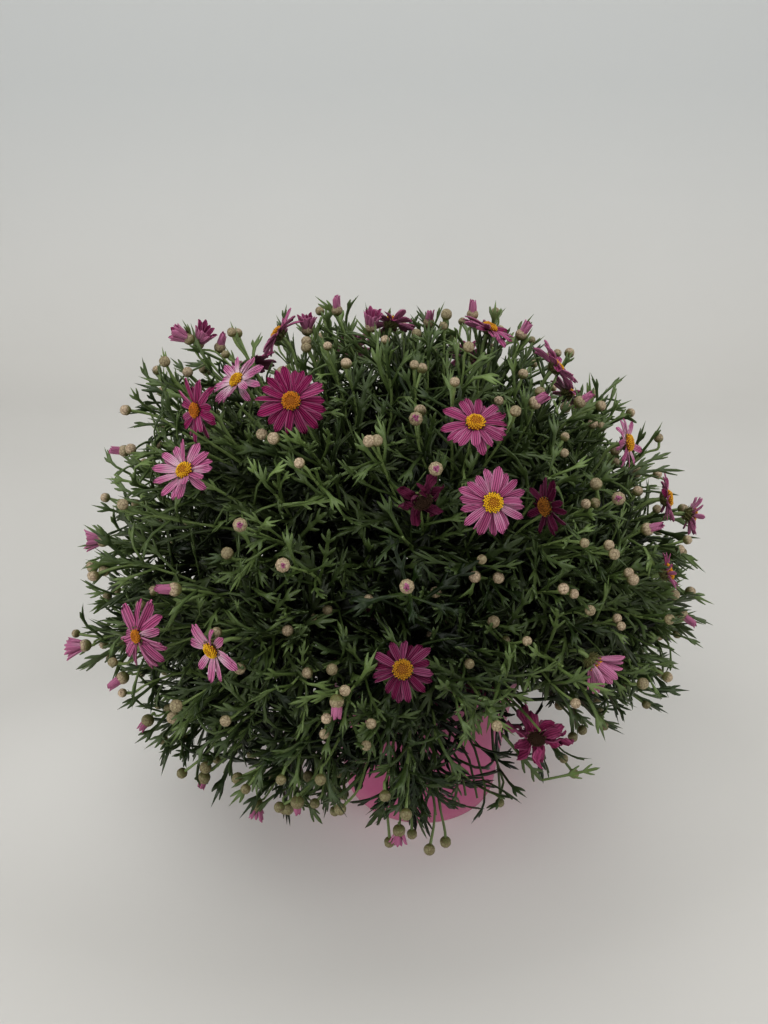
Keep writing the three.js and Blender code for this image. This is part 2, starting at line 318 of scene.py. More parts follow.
def on_shoot(shoot, share):
    """Points at the given shares of a shoot's length. The lower it ends, the more steeply it sets off."""
    azimuth, rise, reach = shoot
    low = (math.pi / 2 - rise) / (math.pi / 2 - LOWEST_RISE)
    share = np.asarray(share, float)
    way = direction(azimuth, rise + (1 - share) * GREATEST_LIFT * low**2)
    return CROWN + way * (share * reach)[..., None]


def outline_reach(azimuth, rise):
    """How far the outline is from the crown that way."""
    start = (CROWN - OUTLINE_CENTRE) / OUTLINE_RADII
    step = direction(azimuth, rise) / OUTLINE_RADII
    a, b, c = (step**2).sum(-1), (start * step).sum(-1), (start**2).sum() - 1
    return (-b + np.sqrt(b * b - a * c)) / a


def curve_points(start, sets_off, arrives, end, count):
    """Points on a soft bend from start to end that leaves and arrives along the given handles."""
    t = np.linspace(0, 1, count)[:, None]
    first, second = start + sets_off, end - arrives
    return (1 - t) ** 3 * start + 3 * t * (1 - t) ** 2 * first + 3 * t * t * (1 - t) * second + t**3 * end


# %% [markdown]
# The flowers and where they are
#
# Each daisy is placed by the middle of its head and the way that it faces, as in the frame. The looks of a
# daisy change with its age: it opens pale with a white base, turns magenta, bends its petals back and
# fades. Lift is how far the petals rise from flat towards the front, in degrees.

# %% Flower table
# head in mm, faces in degrees round from the front and up, across in mm, petals as a number,
# lift in degrees, pale from 0 (deep magenta) to 1 (pale pink with a white base), gold from 0 (yellow) to 1
COLUMNS = ("head", "faces", "across", "petals", "lift", "pale", "gold")
FLOWERS = [
    ((-96, -88, 398), (-5, 32), 50, 21, 4, 0.0, 0.8),
    ((-140, -36, 394), (-58, 46), 46, 18, 14, 0.95, 0.2),
    ((-164, -74, 386), (-50, 10), 46, 19, 6, 0.05, 0.9),
    ((-168, -110, 356), (-30, 45), 46, 18, 16, 0.72, 0.2),
    ((-118, 50, 403), (-102, 36), 46, 18, 8, 0.3, 0.6),
    ((27, -116, 393), (5, 60), 46, 20, 2, 0.3, 0.35),
    ((36, -158, 356), (5, 25), 46, 19, 3, 0.56, 0.05),
    ((75, -132, 340), (-64, 2), 40, 15, 6, 0.0, 0.8),
    ((-8, -144, 350), (25, -20), 40, 14, -10, 0.0, 1.0),
    ((52, 55, 406), (88, 67), 46, 20, 8, 0.4, 0.5),
    ((97, -5, 394), (106, 43), 46, 19, 20, 0.35, 0.5),
    ((145, -53, 352), (65, 15), 40, 18, 6, 0.8, 0.4),
    ((177, -60, 310), (80, 10), 38, 18, 4, 0.3, 0.5),
    ((206, -32, 282), (85, -10), 34, 17, 24, 0.6, 0.5),
    ((-200, -158, 255), (-42, 12), 54, 17, -4, 0.45, 0.8),
    ((-143, -194, 269), (-34, -6), 46, 11, 8, 0.68, 0.05),
    ((-21, -200, 258), (-5, 40), 44, 19, -12, 0.08, 0.5),
    ((77, -153, 164), (-12, -4), 56, 17, -4, 0.2, 1.0),
    ((110, -160, 235), (70, -40), 46, 15, 62, 0.65, 0.6),
]
FLOWERS = [dict(zip(COLUMNS, row)) for row in FLOWERS]
# By their number: wilted daisies, those in the bush's shade, whose petals are darkened as painted shade, and
# those with a smaller eye
LIMP_ONES = (9, 18)
SHADED_DAISIES = {8: 1.0, 9: 1.0, 17: 0.6}
SMALL_EYES = {2: 0.85, 3: 0.82, 4: 0.85, 15: 0.7, 16: 0.8}
EYE_SIZE = 0.92
for number, flower in enumerate(FLOWERS, 1):
    flower.update(name=f"flower_{number:02d}", limp=number in LIMP_ONES, deep=SHADED_DAISIES.get(number, 0))
    flower.update(eye=SMALL_EYES.get(number, EYE_SIZE))

# Daisies that stand where the frame has only buds: two at the edge in front and the rest at the back
MORE_FLOWERS = [
    ((-27, 65, 408), (165, 52), 44, 18, 10, 0.35, 0.5),
    ((166, -116, 280), (85, 25), 30, 15, 34, 0.15, 0.6),
    ((-150, 120, 352), (-140, 40), 46, 19, 4, 0.1, 0.8),
    ((-60, 175, 352), (-170, 30), 44, 18, 6, 0.6, 0.2),
    ((45, 168, 345), (165, 35), 46, 20, 3, 0.3, 0.5),
    ((130, 110, 330), (125, 25), 42, 18, 10, 0.8, 0.3),
    ((-200, 120, 240), (-130, 15), 44, 18, 5, 0.3, 0.7),
    ((20, 212, 250), (178, 5), 46, 19, 4, 0.0, 0.8),
    ((140, 160, 220), (145, 0), 42, 17, 8, 0.5, 0.5),
]
MORE_FLOWERS = [dict(zip(COLUMNS, row)) for row in MORE_FLOWERS]
for flower in MORE_FLOWERS:
    flower.update(limp=False, deep=0, eye=EYE_SIZE)
every_flower = FLOWERS + MORE_FLOWERS
heads = np.array([flower["head"] for flower in every_flower], float)
print(len(every_flower), "flowers from", heads.min(0), "to", heads.max(0), "mm")

# %% [markdown]
# A leaf
#
# A marguerite leaf is a narrow fleshy blade that widens away from the stem and ends in three to seven
# pointed fingers. It starts here as a thin slab, whose far end is pulled out step by step along the midrib.
# Then the slab's narrow side faces are pulled out twice each, forwards and outwards, and the last end of
# each is merged to a point. That gives a closed leaf of a few dozen faces, which smooth shading rounds.
# Three leaves of different ages are enough, since every copy is bent and sized on its own.

# %% Model the leaves
LEAF_THICKNESS = 0.9
# A finger leans this far out from the midrib, keeps its width over this share of its length and thins there
FINGER_SWEEP = math.radians(28)
FINGER_BLADE = 0.8
FINGER_THINNING = 0.8
# A finger grows from the side face whose middle is this near, in mm, along the blade and across it
NEAR_ALONG, NEAR_ACROSS = 1, 3


def pull_finger(side, at, length):
    """Pulls one finger out of the leaf's side face that is nearest to a place on the midrib."""
    out, ahead = length * math.sin(FINGER_SWEEP), length * math.cos(FINGER_SWEEP)

    def is_its_foot(face):
        spot = middle(face)
        near = abs(spot.y - at) < NEAR_ALONG and abs(spot.x) < NEAR_ACROSS
        return near and side * face.normal.x > 0.5

    pick("FACE", is_its_foot)
    grow((side * out * FINGER_BLADE, ahead * FINGER_BLADE, 0), (1, 1, FINGER_THINNING))
    grow((side * out * (1 - FINGER_BLADE), ahead * (1 - FINGER_BLADE), 0))
    bpy.ops.mesh.merge(type="CENTER")


def model_leaf(midrib, fingers):
    """midrib: (distance from the stem, width) in mm. fingers: (place along the midrib, length)."""
    start_empty()
    width, first = midrib[0][1], midrib[1][0]
    bpy.ops.mesh.primitive_cube_add(size=1)
    settle(location=(0, first / 2, 0), scale=(width, first, LEAF_THICKNESS))
    editing(True)
    pick("FACE", lambda face: face.normal.y > 0.9)
    for (before, was), (after, now) in zip(midrib[1:], midrib[2:]):
        grow((0, after - before, 0), (now / was, 1, 1))
    bpy.ops.mesh.merge(type="CENTER")
    for at, length in fingers:
        for side in (-1, 1):
            pull_finger(side, at, length)
    editing(False)
    length = midrib[-1][0]
    return Template(
        bpy.context.object,
        under=lambda x, y, z: (z < 0) * 1.0,
        along=lambda x, y, z: y / length,
    )


# The midrib and the fingers of a full-grown leaf, a middling one and a young one
LEAF_SHAPES = {
    "broad": (
        [(0, 1.6), (12, 2.2), (22.2, 2.6), (25.8, 3.3), (31.3, 2.5), (34.9, 3.2)]
        + [(40, 2.5), (46.5, 2.9), (51, 1)],
        [(24, 7.5), (33.1, 9), (43.2, 5)],
    ),
    "middle": (
        [(0, 1.6), (12, 2.2), (19.2, 2.7), (22.8, 3.3), (30, 2.4), (33.4, 3.0), (39.6, 2.7), (43, 1)],
        [(21, 8), (31.7, 6.5)],
    ),
    "young": ([(0, 1.4), (11, 2.1), (15.3, 2.9), (18.7, 2.8), (27, 1)], [(17, 5)]),
}
LEAVES = {name: model_leaf(midrib, fingers) for name, (midrib, fingers) in LEAF_SHAPES.items()}
LEAF_LENGTH = {name: midrib[-1][0] for name, (midrib, fingers) in LEAF_SHAPES.items()}
print("triangles in a leaf:", {name: leaf.triangles for name, leaf in LEAVES.items()})

# %% [markdown]
# A petal
#
# Each ray of a daisy is a strap with two shallow grooves, a narrow foot and a blunt tip with small teeth.
# A grid is the natural start: its rows are scaled to the strap's width, its columns are moved for the
# grooves and the teeth, and a Solidify modifier gives it its small thickness.

# %% Model a petal
PETAL_LENGTH = 20
PETAL_HALF_WIDTH = 3
PETAL_ROWS = 6
PETAL_COLUMNS = 4
PETAL_THICKNESS = 0.35
GROOVE_DEPTH = 0.8
# Its width at the foot and how much it swells, then as shares of its length: until where, and the rounding
FOOT_WIDTH, SWELLING = 1.3, 5.2
SWELLS_UNTIL, ROUNDS_FROM, ROUNDS_OVER = 0.6, 0.66, 0.37
# How far the tip's notches and its two corners are pushed back, in mm
NOTCH, CORNER = 0.4, 1.0


def strap_width(share):
    """The petal's width in mm at a share of its length."""
    swollen = math.sin(math.pi / 2 * min(1, (share + 0.05) / SWELLS_UNTIL))
    rounding = math.sqrt(1 - max(0, (share - ROUNDS_FROM) / ROUNDS_OVER) ** 2)
    return (FOOT_WIDTH + SWELLING * swollen) * rounding


def off_midline(vert):
    """How far a point is from the petal's midline: 0.5 at the edge, 0.25 in a groove."""
    return abs(vert.co.x) / strap_width(vert.co.y / PETAL_LENGTH)


def at_the_tip(vert):
    return vert.co.y > PETAL_LENGTH - 0.1


def lower_face(x, y, z):
    """1 on the petal's underside. Solidify lists the points of one side, then those of the other."""
    first, second = np.split(z, 2)
    return np.concatenate([first < second, second < first]) * 1.0


start_empty()
bpy.ops.mesh.primitive_grid_add(x_subdivisions=PETAL_COLUMNS, y_subdivisions=PETAL_ROWS, size=1)
settle(location=(0, PETAL_LENGTH / 2, 0), scale=(1, PETAL_LENGTH, 1))
editing(True)
for row in range(PETAL_ROWS + 1):
    share = row / PETAL_ROWS
    pick("VERT", lambda vert: abs(vert.co.y - share * PETAL_LENGTH) < 0.01)
    scale_selected((strap_width(share), 1, 1))
pick("VERT", lambda vert: 0.2 < off_midline(vert) < 0.3)
bpy.ops.transform.translate(value=(0, 0, -GROOVE_DEPTH))
pick("VERT", lambda vert: at_the_tip(vert) and 0.2 < off_midline(vert) < 0.3)
bpy.ops.transform.translate(value=(0, -NOTCH, 0))
pick("VERT", lambda vert: at_the_tip(vert) and off_midline(vert) > 0.4)
bpy.ops.transform.translate(value=(0, -CORNER, 0))
editing(False)
finish_modifier(bpy.context.object, "SOLIDIFY", thickness=PETAL_THICKNESS, offset=0)
PETAL = Template(
    bpy.context.object,
    along=lambda x, y, z: np.clip(y / PETAL_LENGTH, 0, 1),
    across=lambda x, y, z: x / PETAL_HALF_WIDTH,
    under=lower_face,
)
print("triangles in a petal:", PETAL.triangles)

# %% [markdown]
# The eye of the daisy
#
# The yellow eye is a dome of tiny tube flowers. Those at its edge have opened into five-sided cups, and
# those in the middle are still closed knobs. Both start as short five-sided cones; the open one gets its
# hollow by an inset and an extrusion downwards.

# %% Model the eye's dome and its two kinds of floret
EYE_RADIUS = 6.5
EYE_HEIGHT = 3.6
EYE_SEGMENTS = 14
# A floret's radius at its foot, at its top when open and when shut, its rim and its hollow, each as a share
# of its width or height, and how far a shut one bulges above its top
FLORET_SIDES = 5
FLORET_FOOT, OPEN_TOP, SHUT_TOP = 0.36, 0.55, 0.3
FLORET_RIM, FLORET_HOLLOW, FLORET_BULGE = 0.18, 0.35, 0.25
# Width and height of a floret, in mm
OPEN_SIZE, SHUT_SIZE = (1.25, 1.5), (0.95, 0.9)


def model_dome(radius, height, segments):
    """The upper half of a sphere, cut level and closed."""
    start_empty()
    bpy.ops.mesh.primitive_uv_sphere_add(segments=segments, ring_count=8, radius=1)
    settle(scale=(radius, radius, height))
    editing(True)
    bpy.ops.mesh.select_all(action="SELECT")
    bpy.ops.mesh.bisect(plane_co=(0, 0, 0.01), plane_no=(0, 0, -1), clear_outer=True, use_fill=True)
    editing(False)
    return bpy.context.object


def model_floret(width, height, is_open):
    """A floret that stands on the origin."""
    start_empty()
    top = width * (OPEN_TOP if is_open else SHUT_TOP)
    bpy.ops.mesh.primitive_cone_add(
        vertices=FLORET_SIDES, radius1=width * FLORET_FOOT, radius2=top, depth=height
    )
    settle(location=(0, 0, height / 2))
    editing(True)
    pick("FACE", lambda face: face.normal.z > 0.9)
    if is_open:
        bpy.ops.mesh.inset(thickness=width * FLORET_RIM)
        bpy.ops.mesh.extrude_region_move(TRANSFORM_OT_translate={"value": (0, 0, -height * FLORET_HOLLOW)})
    else:
        grow((0, 0, height * FLORET_BULGE), (0.5, 0.5, 1))
    editing(False)
    return Template(bpy.context.object, top=lambda x, y, z: np.clip(z / height, 0, 1))


EYE_DOME = Template(model_dome(EYE_RADIUS, EYE_HEIGHT, EYE_SEGMENTS), top=lambda x, y, z: 0 * z)
OPEN_FLORET = model_floret(*OPEN_SIZE, True)
SHUT_FLORET = model_floret(*SHUT_SIZE, False)
print("triangles in a floret:", OPEN_FLORET.triangles, "open,", SHUT_FLORET.triangles, "shut")

# %% [markdown]
# Buds and cups
#
# Under each daisy is a green cup of small overlapping scales, and a closed bud is the same cup grown all
# the way round, pale where the scales are dry and papery. The bud is a small sphere with its upper
# meridians pulled in and out by turns, which makes the scales' ridges. One scale, for the cups, is a plane
# pulled to a point and thickened.

# %% Model a closed bud, a cup and its scales
BUD_RADIUS = 4.2
BUD_SEGMENTS = 16
# How far every other meridian of a bud is pulled in, and how far its top is pressed down, as shares
FURROW = (0.94, 0.94, 0.98)
TOP_DIP = 0.14
CUP_RADIUS = 5.2
CUP_DEPTH = 4.6
CUP_SEGMENTS = 12
SCALE_LENGTH = 5
SCALE_WIDTH = 1.6
SCALE_THICKNESS = 0.4


def model_bud():
    start_empty()
    bpy.ops.mesh.primitive_uv_sphere_add(segments=BUD_SEGMENTS, ring_count=8, radius=BUD_RADIUS)
    editing(True)
    sector = 2 * math.pi / BUD_SEGMENTS

    def in_a_furrow(vert):
        meridian = round(math.atan2(vert.co.y, vert.co.x) / sector)
        return vert.co.z > -0.5 and meridian % 2 == 1

    pick("VERT", in_a_furrow)
    bpy.ops.transform.resize(value=FURROW, center_override=(0, 0, 0))
    pick("VERT", lambda vert: vert.co.z > BUD_RADIUS * 0.98)
    bpy.ops.transform.translate(value=(0, 0, -BUD_RADIUS * TOP_DIP))
    editing(False)
    return Template(bpy.context.object, top=lambda x, y, z: (z / BUD_RADIUS + 1) / 2)


def model_cup():
    """A dome turned over, with its faces turned outwards again."""
    cup = model_dome(CUP_RADIUS, CUP_DEPTH, CUP_SEGMENTS)
    editing(True)
    bpy.ops.mesh.select_all(action="SELECT")
    bpy.ops.transform.resize(value=(1, 1, -1), center_override=(0, 0, 0))
    bpy.ops.mesh.normals_make_consistent(inside=False)
    editing(False)
    return Template(cup, top=lambda x, y, z: 1 + z / CUP_DEPTH)


def model_scale():
    """One scale of a cup: it widens and curls up a little before it comes to a point."""
    start_empty()
    bpy.ops.mesh.primitive_plane_add(size=1)
    settle(location=(0, SCALE_LENGTH / 4, 0), scale=(SCALE_WIDTH, SCALE_LENGTH / 2, 1))
    editing(True)
    pick("EDGE", lambda edge: middle(edge).y > SCALE_LENGTH / 2 - 0.01)
    grow((0, SCALE_LENGTH * 0.28, 0.2), (1.25, 1, 1))
    grow((0, SCALE_LENGTH * 0.22, 0.5), (0.3, 1, 1))
    editing(False)
    finish_modifier(bpy.context.object, "SOLIDIFY", thickness=SCALE_THICKNESS, offset=0)
    return Template(bpy.context.object, top=lambda x, y, z: y / SCALE_LENGTH)


BUD, CUP, CUP_SCALE = model_bud(), model_cup(), model_scale()
print("triangles in a bud:", BUD.triangles, "in a cup:", CUP.triangles, "in a scale:", CUP_SCALE.triangles)

# %% [markdown]
# The pot
#
# The pot is moulded in pink polypropylene: a plain cone with a stepped collar, a small lip and holes in its
# floor. It could be a spun outline, but by hand it is drawn from the floor up: a filled circle, whose edge
# is pulled up ring by ring. A Solidify modifier then gives the wall its real thickness on the inside, a
# Bevel breaks the edges that the mould leaves soft, and a Boolean with a ring of pegs cuts the holes.

# %% Model the pot
POT_SIDES = 128
POT_WALL = 1.2
COLLAR_FOOT = 119
# The outside from the floor up, as heights with the radius there: foot, wall, collar and lip
RINGS = [
    (0, 68), (2.5, 68.6), (3.2, 68.2), (COLLAR_FOOT, 83.6),
    (COLLAR_FOOT, 86.8), (121, 87.2), (137.6, 89.2), (138.4, 90), (140, 90),
]
EDGE_ROUNDING = 0.5
EDGE_ANGLE = math.radians(25)
SMOOTH_BELOW = math.radians(35)
HOLE_CIRCLE = 50
HOLE_RADIUS = 4.5
HOLES = 8


def model_pot():
    start_empty()
    bpy.ops.mesh.primitive_circle_add(vertices=POT_SIDES, radius=RINGS[0][1], fill_type="NGON")
    pot = bpy.context.object
    editing(True)
    bpy.ops.mesh.select_all(action="SELECT")
    bpy.ops.mesh.flip_normals()
    pick("EDGE", lambda edge: True)
    for (low, narrow), (high, wide) in zip(RINGS, RINGS[1:]):
        grow((0, 0, high - low), (wide / narrow, wide / narrow, 1))
    editing(False)
    finish_modifier(pot, "SOLIDIFY", thickness=POT_WALL, offset=1)
    finish_modifier(
        pot, "BEVEL", width=EDGE_ROUNDING, segments=2, limit_method="ANGLE", angle_limit=EDGE_ANGLE
    )
    return pot


def drill_holes(pot):
    """Cuts the floor with a ring of pegs, each as wide as a drainage hole."""
    start_empty()
    bpy.ops.mesh.primitive_cylinder_add(vertices=24, radius=HOLE_RADIUS, depth=10)
    pegs = bpy.context.object
    settle(location=(HOLE_CIRCLE, 0, 0))
    editing(True)
    bpy.ops.mesh.select_all(action="SELECT")
    bpy.ops.mesh.spin(steps=HOLES, angle=2 * math.pi, axis=(0, 0, 1), center=(0, 0, 0), dupli=True)
    bpy.ops.mesh.select_all(action="SELECT")
    bpy.ops.mesh.remove_doubles(threshold=0.01)
    editing(False)
    finish_modifier(pot, "BOOLEAN", object=pegs, operation="DIFFERENCE", solver="EXACT")
    bpy.data.objects.remove(pegs)


def to_metres(piece, name, material):
    """A piece modelled in mm takes its real size, its name and its finish."""
    select_only(piece)
    settle(scale=(MM, MM, MM))
    bpy.ops.object.shade_smooth_by_angle(angle=SMOOTH_BELOW)
    piece.name = piece.data.name = name
    piece.data.materials.clear()
    piece.data.materials.append(material)
    return piece


pot = model_pot()
drill_holes(pot)
print("pot:", len(pot.data.polygons), "faces")

# %% [markdown]
# Moulded polypropylene
#
# The pot's plastic is polypropylene, coloured all through and moulded in a polished mould, so it is smooth,
# a little waxy and never a mirror. Its IOR is 1.49. What the eye sees is a soft gleam, a faint unevenness
# of the wall and a film of dust and dried water above the foot. One noise as wide as the wall's waves
# drives tint and bump, a finer one drives dust and gleam, and the dust fades out with height.

# %% Pot finish
PINK = "#b9648a"
PINK_SHADE = "#a9567a"
DUST = "#cdb0ac"
DUST_SHARE = 0.35
DUST_TOP = 26 * MM
WALL_WAVE = 18 * MM
WAVE_DEPTH = 0.6 * MM
# Dust is too fine to show, so its grains are drawn as patches of this size
DUST_GRAIN = 1.5 * MM
PLASTIC_GLEAM = {"To Min": 0.36, "To Max": 0.5}
PLASTIC_IOR = 1.49

plastic, add, shader, place = new_material("moulded_polypropylene")
waves = add("TexNoise", {"Vector": place, "Scale": 1 / WALL_WAVE, "Detail": 3.0})
tint = add("Mix", {SHARE: waves.outputs["Fac"], FIRST: PINK, SECOND: PINK_SHADE}, data_type="RGBA")
grains = add("TexNoise", {"Vector": place, "Scale": 1 / DUST_GRAIN, "Detail": 6.0})
height = add("SeparateXYZ", {0: place})
near_foot = add("MapRange", {
    "Value": height.outputs["Z"], "From Min": 0.0, "From Max": DUST_TOP, "To Min": DUST_SHARE, "To Max": 0.0,
})
dusty = add("Math", {0: grains.outputs["Fac"], 1: near_foot.outputs[0]}, operation="MULTIPLY")
colour = add("Mix", {SHARE: dusty.outputs[0], FIRST: tint.outputs[MIXED], SECOND: DUST}, data_type="RGBA")
gleam = add("MapRange", {"Value": grains.outputs["Fac"], **PLASTIC_GLEAM})
bumps = add("Bump", {"Height": waves.outputs["Fac"], "Strength": 0.15, "Distance": WAVE_DEPTH})
set_inputs(shader, {
    "Base Color": colour.outputs[MIXED], "Roughness": gleam.outputs[0], "Normal": bumps.outputs[0],
    "IOR": PLASTIC_IOR,
})
pot = to_metres(pot, "grower_pot", plastic)
print("pot finish:", len(shader.id_data.nodes), "nodes")

# %% [markdown]
# The soil
#
# Potting soil is dark peat with crumbs and a few white grains of perlite. Noise alone would leave it flat,
# so its body is a plug that fills the pot, whose top is inset in rings, mounded round the trunk and
# roughened, and loose crumbs are strewn on it: small spheres, each knocked out of shape by chance.

# %% Model the soil
SOIL_BOTTOM = 1.6
SOIL_TOP = COLLAR_FOOT - 2
SOIL_RADIUS = 81.8
SOIL_FOOT_RADIUS = 66.6
SOIL_RINGS = 12
RING_STEP = 6
# The mound's height and radius, and how quickly it falls off
SOIL_MOUND, MOUND_RADIUS, MOUND_POWER = 7, 60, 0.7
UNEVEN = 1.2
CRUMBS = 520
# The crumbs' places, as shares of the soil's area from the middle out
STREWN = (0.02, 0.92)
CRUMB_RADII = (0.8, 2.6)
CRUMB_DENTS = 0.3
PERLITE_SHARE = 0.05


def soil_level(radius):
    """The height of the soil's top at a distance from the pot's axis."""
    return SOIL_TOP + SOIL_MOUND * np.clip(1 - radius / MOUND_RADIUS, 0, 1) ** MOUND_POWER


def model_soil():
    start_empty()
    bpy.ops.mesh.primitive_circle_add(vertices=64, radius=SOIL_FOOT_RADIUS, fill_type="NGON")
    soil = bpy.context.object
    editing(True)
    bpy.ops.mesh.select_all(action="SELECT")
    wider = SOIL_RADIUS / SOIL_FOOT_RADIUS
    grow((0, 0, SOIL_TOP - SOIL_BOTTOM), (wider, wider, 1))
    for _ in range(SOIL_RINGS):
        bpy.ops.mesh.inset(thickness=RING_STEP)
    bpy.ops.mesh.merge(type="CENTER")
    bpy.ops.mesh.select_all(action="SELECT")
    bpy.ops.mesh.normals_make_consistent(inside=False)
    editing(False)
    for vert in soil.data.vertices:
        vert.co.z += SOIL_BOTTOM
        radius = math.hypot(vert.co.x, vert.co.y)
        if vert.co.z > SOIL_BOTTOM + 1:
            vert.co.z = soil_level(radius) + chance.uniform(-UNEVEN, UNEVEN) * (radius < SOIL_RADIUS - 1)
    return soil


start_empty()
bpy.ops.mesh.primitive_ico_sphere_add(subdivisions=1, radius=1)
CRUMB = Template(bpy.context.object)
soil = Pile()
block = Template(model_soil())
soil.add(block, block.points[None], perlite=[0])
spots = SOIL_RADIUS * np.sqrt(chance.uniform(*STREWN, CRUMBS))
turns = chance.uniform(0, 2 * math.pi, CRUMBS)
place = np.stack([spots * np.cos(turns), spots * np.sin(turns), soil_level(spots)], axis=-1)
rough = 1 + chance.uniform(-CRUMB_DENTS, CRUMB_DENTS, (CRUMBS, len(CRUMB.points), 3))
grain = chance.uniform(*CRUMB_RADII, CRUMBS)
points = place[:, None] + CRUMB.points * rough * grain[:, None, None]
soil.add(CRUMB, points, perlite=chance.random(CRUMBS) < PERLITE_SHARE)
print("soil:", CRUMBS, "crumbs on", block.triangles, "triangles")

# %% [markdown]
# Peat
#
# Damp peat soaks up light in its crumbs and hardly shines, so it is nearly black brown and almost fully
# rough. One noise, a crumb wide, mixes its two browns and raises its bumps, and the grains that carry the
# number for perlite are near white.

# %% Soil finish
PEAT_DARK = "#1c130d"
PEAT_LIGHT = "#49352a"
PERLITE = "#a39e90"
CRUMB_SIZE = 3 * MM
CRUMB_HEIGHT = 2 * MM
PEAT_ROUGHNESS = 0.95

peat, add, shader, place = new_material("damp_peat")
grains = add("TexNoise", {"Vector": place, "Scale": 1 / CRUMB_SIZE, "Detail": 8.0})
browns = add("Mix", {SHARE: grains.outputs["Fac"], FIRST: PEAT_DARK, SECOND: PEAT_LIGHT}, data_type="RGBA")
white = add("Attribute", attribute_name="perlite")
colour = add("Mix", {
    SHARE: white.outputs["Fac"], FIRST: browns.outputs[MIXED], SECOND: PERLITE,
}, data_type="RGBA")
bumps = add("Bump", {"Height": grains.outputs["Fac"], "Strength": 0.8, "Distance": CRUMB_HEIGHT})
set_inputs(shader, {
    "Base Color": colour.outputs[MIXED], "Roughness": PEAT_ROUGHNESS, "Normal": bumps.outputs[0],
})
soil = soil.make("potting_soil_crumbs", peat)
print("soil:", len(soil.data.polygons), "faces")

# %% [markdown]
# Looking through a pixel
#
# The camera stands where a fit to the photograph put it, and the same camera takes the picture at the end.
# From there each pixel is one straight line of sight, so a shoot's tip that shows at a pixel lies on that
# line. How far back it lies is judged and given as its Y, in mm. A tip at the very edge of the bush
# needs no such number: it lies where its line passes nearest to the middle of the rounded outline.

# %% Camera place and lines of sight
VIEWED_FROM = np.array([-33, -725, 641])
CAMERA_PITCH = math.radians(25)
FOCAL_PIXELS = 1000
MIDDLE_ACROSS, MIDDLE_DOWN = 382.5, 473


def line_of_sight(across, down):
    """The direction in which the camera sees a pixel, given across and down from the top left."""
    right = (across - MIDDLE_ACROSS) / FOCAL_PIXELS
    below = (down - MIDDLE_DOWN) / FOCAL_PIXELS
    level, dip = math.cos(CAMERA_PITCH), math.sin(CAMERA_PITCH)
    return np.array([right, level - below * dip, -dip - below * level])


def seen_at(across, down, depth):
    """The point, in whole mm, that shows at a pixel and has this Y."""
    sight = line_of_sight(across, down)
    return np.round(VIEWED_FROM + sight * (depth - VIEWED_FROM[1]) / sight[1])


def seen_at_edge(across, down):
    """The point, in whole mm, where a pixel's line of sight passes nearest to the outline's middle."""
    sight = line_of_sight(across, down)
    start, step = (VIEWED_FROM - OUTLINE_CENTRE) / OUTLINE_RADII, sight / OUTLINE_RADII
    return np.round(VIEWED_FROM - sight * (start @ step) / (step @ step))


print("the middle of the picture looks at", seen_at(MIDDLE_ACROSS, MIDDLE_DOWN, 0), "mm")

# %% [markdown]
# Where the shoots end
#
# The frame's main shoots end at the daisies and at buds, and their tips are read from the frame. Tips that
# shape the outline, opening buds and the sprays that hang before the pot are placed one by one. The rest of
# the outline is filled by even directions round the crown, as a sunflower sets its seeds. A sector low
# at the front right is bare on this plant, and a new tip keeps clear of those that are there.

# %% Tips that are placed one by one
# Buds that are opening: the pixel and the Y of each tip, the way it faces in degrees and its length in mm
OPENING_SEEN = [
    ((177, 334, 42), (-80, 30), 17), ((203, 334, 48), (70, 55), 19), ((220, 340, 51), (60, 70), 14),
    ((305, 322, 66), (0, 85), 15), ((334, 303, 70), (-20, 80), 14), ((370, 318, 42), (10, 75), 16),
    ((428, 317, 70), (10, 80), 12), ((471, 308, 66), (0, 85), 13), ((523, 329, 57), (80, 60), 13),
    ((539, 398, -67), (60, 45), 13), ((584, 398, -32), (80, 40), 12), ((115, 451, 1), (-80, 5), 13),
    ((91, 541, -65), (-80, 5), 15), ((163, 590, -162), (-70, 10), 14), ((73, 646, -95), (-85, 0), 16),
    ((114, 682, -121), (-60, -20), 13), ((141, 727, -125), (-50, -40), 13),
    ((200, 784, -151), (-40, -60), 12),
    ((255, 814, -164), (-20, -70), 15), ((296, 811, -198), (-10, -75), 14), ((335, 709, -212), (0, -65), 12),
    ((397, 840, -175), (0, -70), 15), ((687, 620, -79), (60, -30), 14), ((653, 527, -105), (60, 30), 13),
]
# Buds that only show a pink tip, which happen to face the viewer
OPENING_SEEN += [
    ((238, 525, -160), (9, 28), 7), ((414, 418, -112), (-2, 32), 7), ((434, 469, -146), (-3, 25), 7),
    ((405, 586, -199), (-2, 31), 7), ((281, 565, -185), (7, 30), 6), ((617, 498, -114), (-15, 26), 7),
]
OPENING = [(seen_at(*spot), facing, length) for spot, facing, length in OPENING_SEEN]
opening_tips = np.array([tip for tip, *_ in OPENING])

# Leafy tips without a bud that fill the upper left shoulder: the pixel and the Y of each
SHOULDER_SEEN = [
    (150, 362, -20), (127, 395, -40), (118, 430, -60), (140, 378, 0), (172, 380, 20), (105, 470, -60),
    (112, 452, -40), (160, 410, -100), (200, 352, 40), (166, 446, -60), (143, 477, -82), (180, 402, -22),
    (183, 439, -84), (149, 437, -42), (232, 354, 20), (205, 421, -60), (279, 328, 90), (338, 310, 80),
    (374, 306, 84),
]
# Leafy tips that stand at the very edge: the pixel of each
EDGE_SEEN = [
    (86, 596), (96, 584), (102, 604), (156, 750), (150, 742), (180, 780), (150, 388), (178, 366),
    (606, 388), (612, 402), (392, 310), (412, 312), (340, 322), (500, 345), (152, 372), (142, 398),
    (166, 388), (160, 412), (132, 428), (608, 398), (598, 412), (622, 408), (588, 396), (385, 316),
    (402, 314), (424, 318), (444, 324), (486, 342), (524, 348), (690, 640), (655, 700),
]
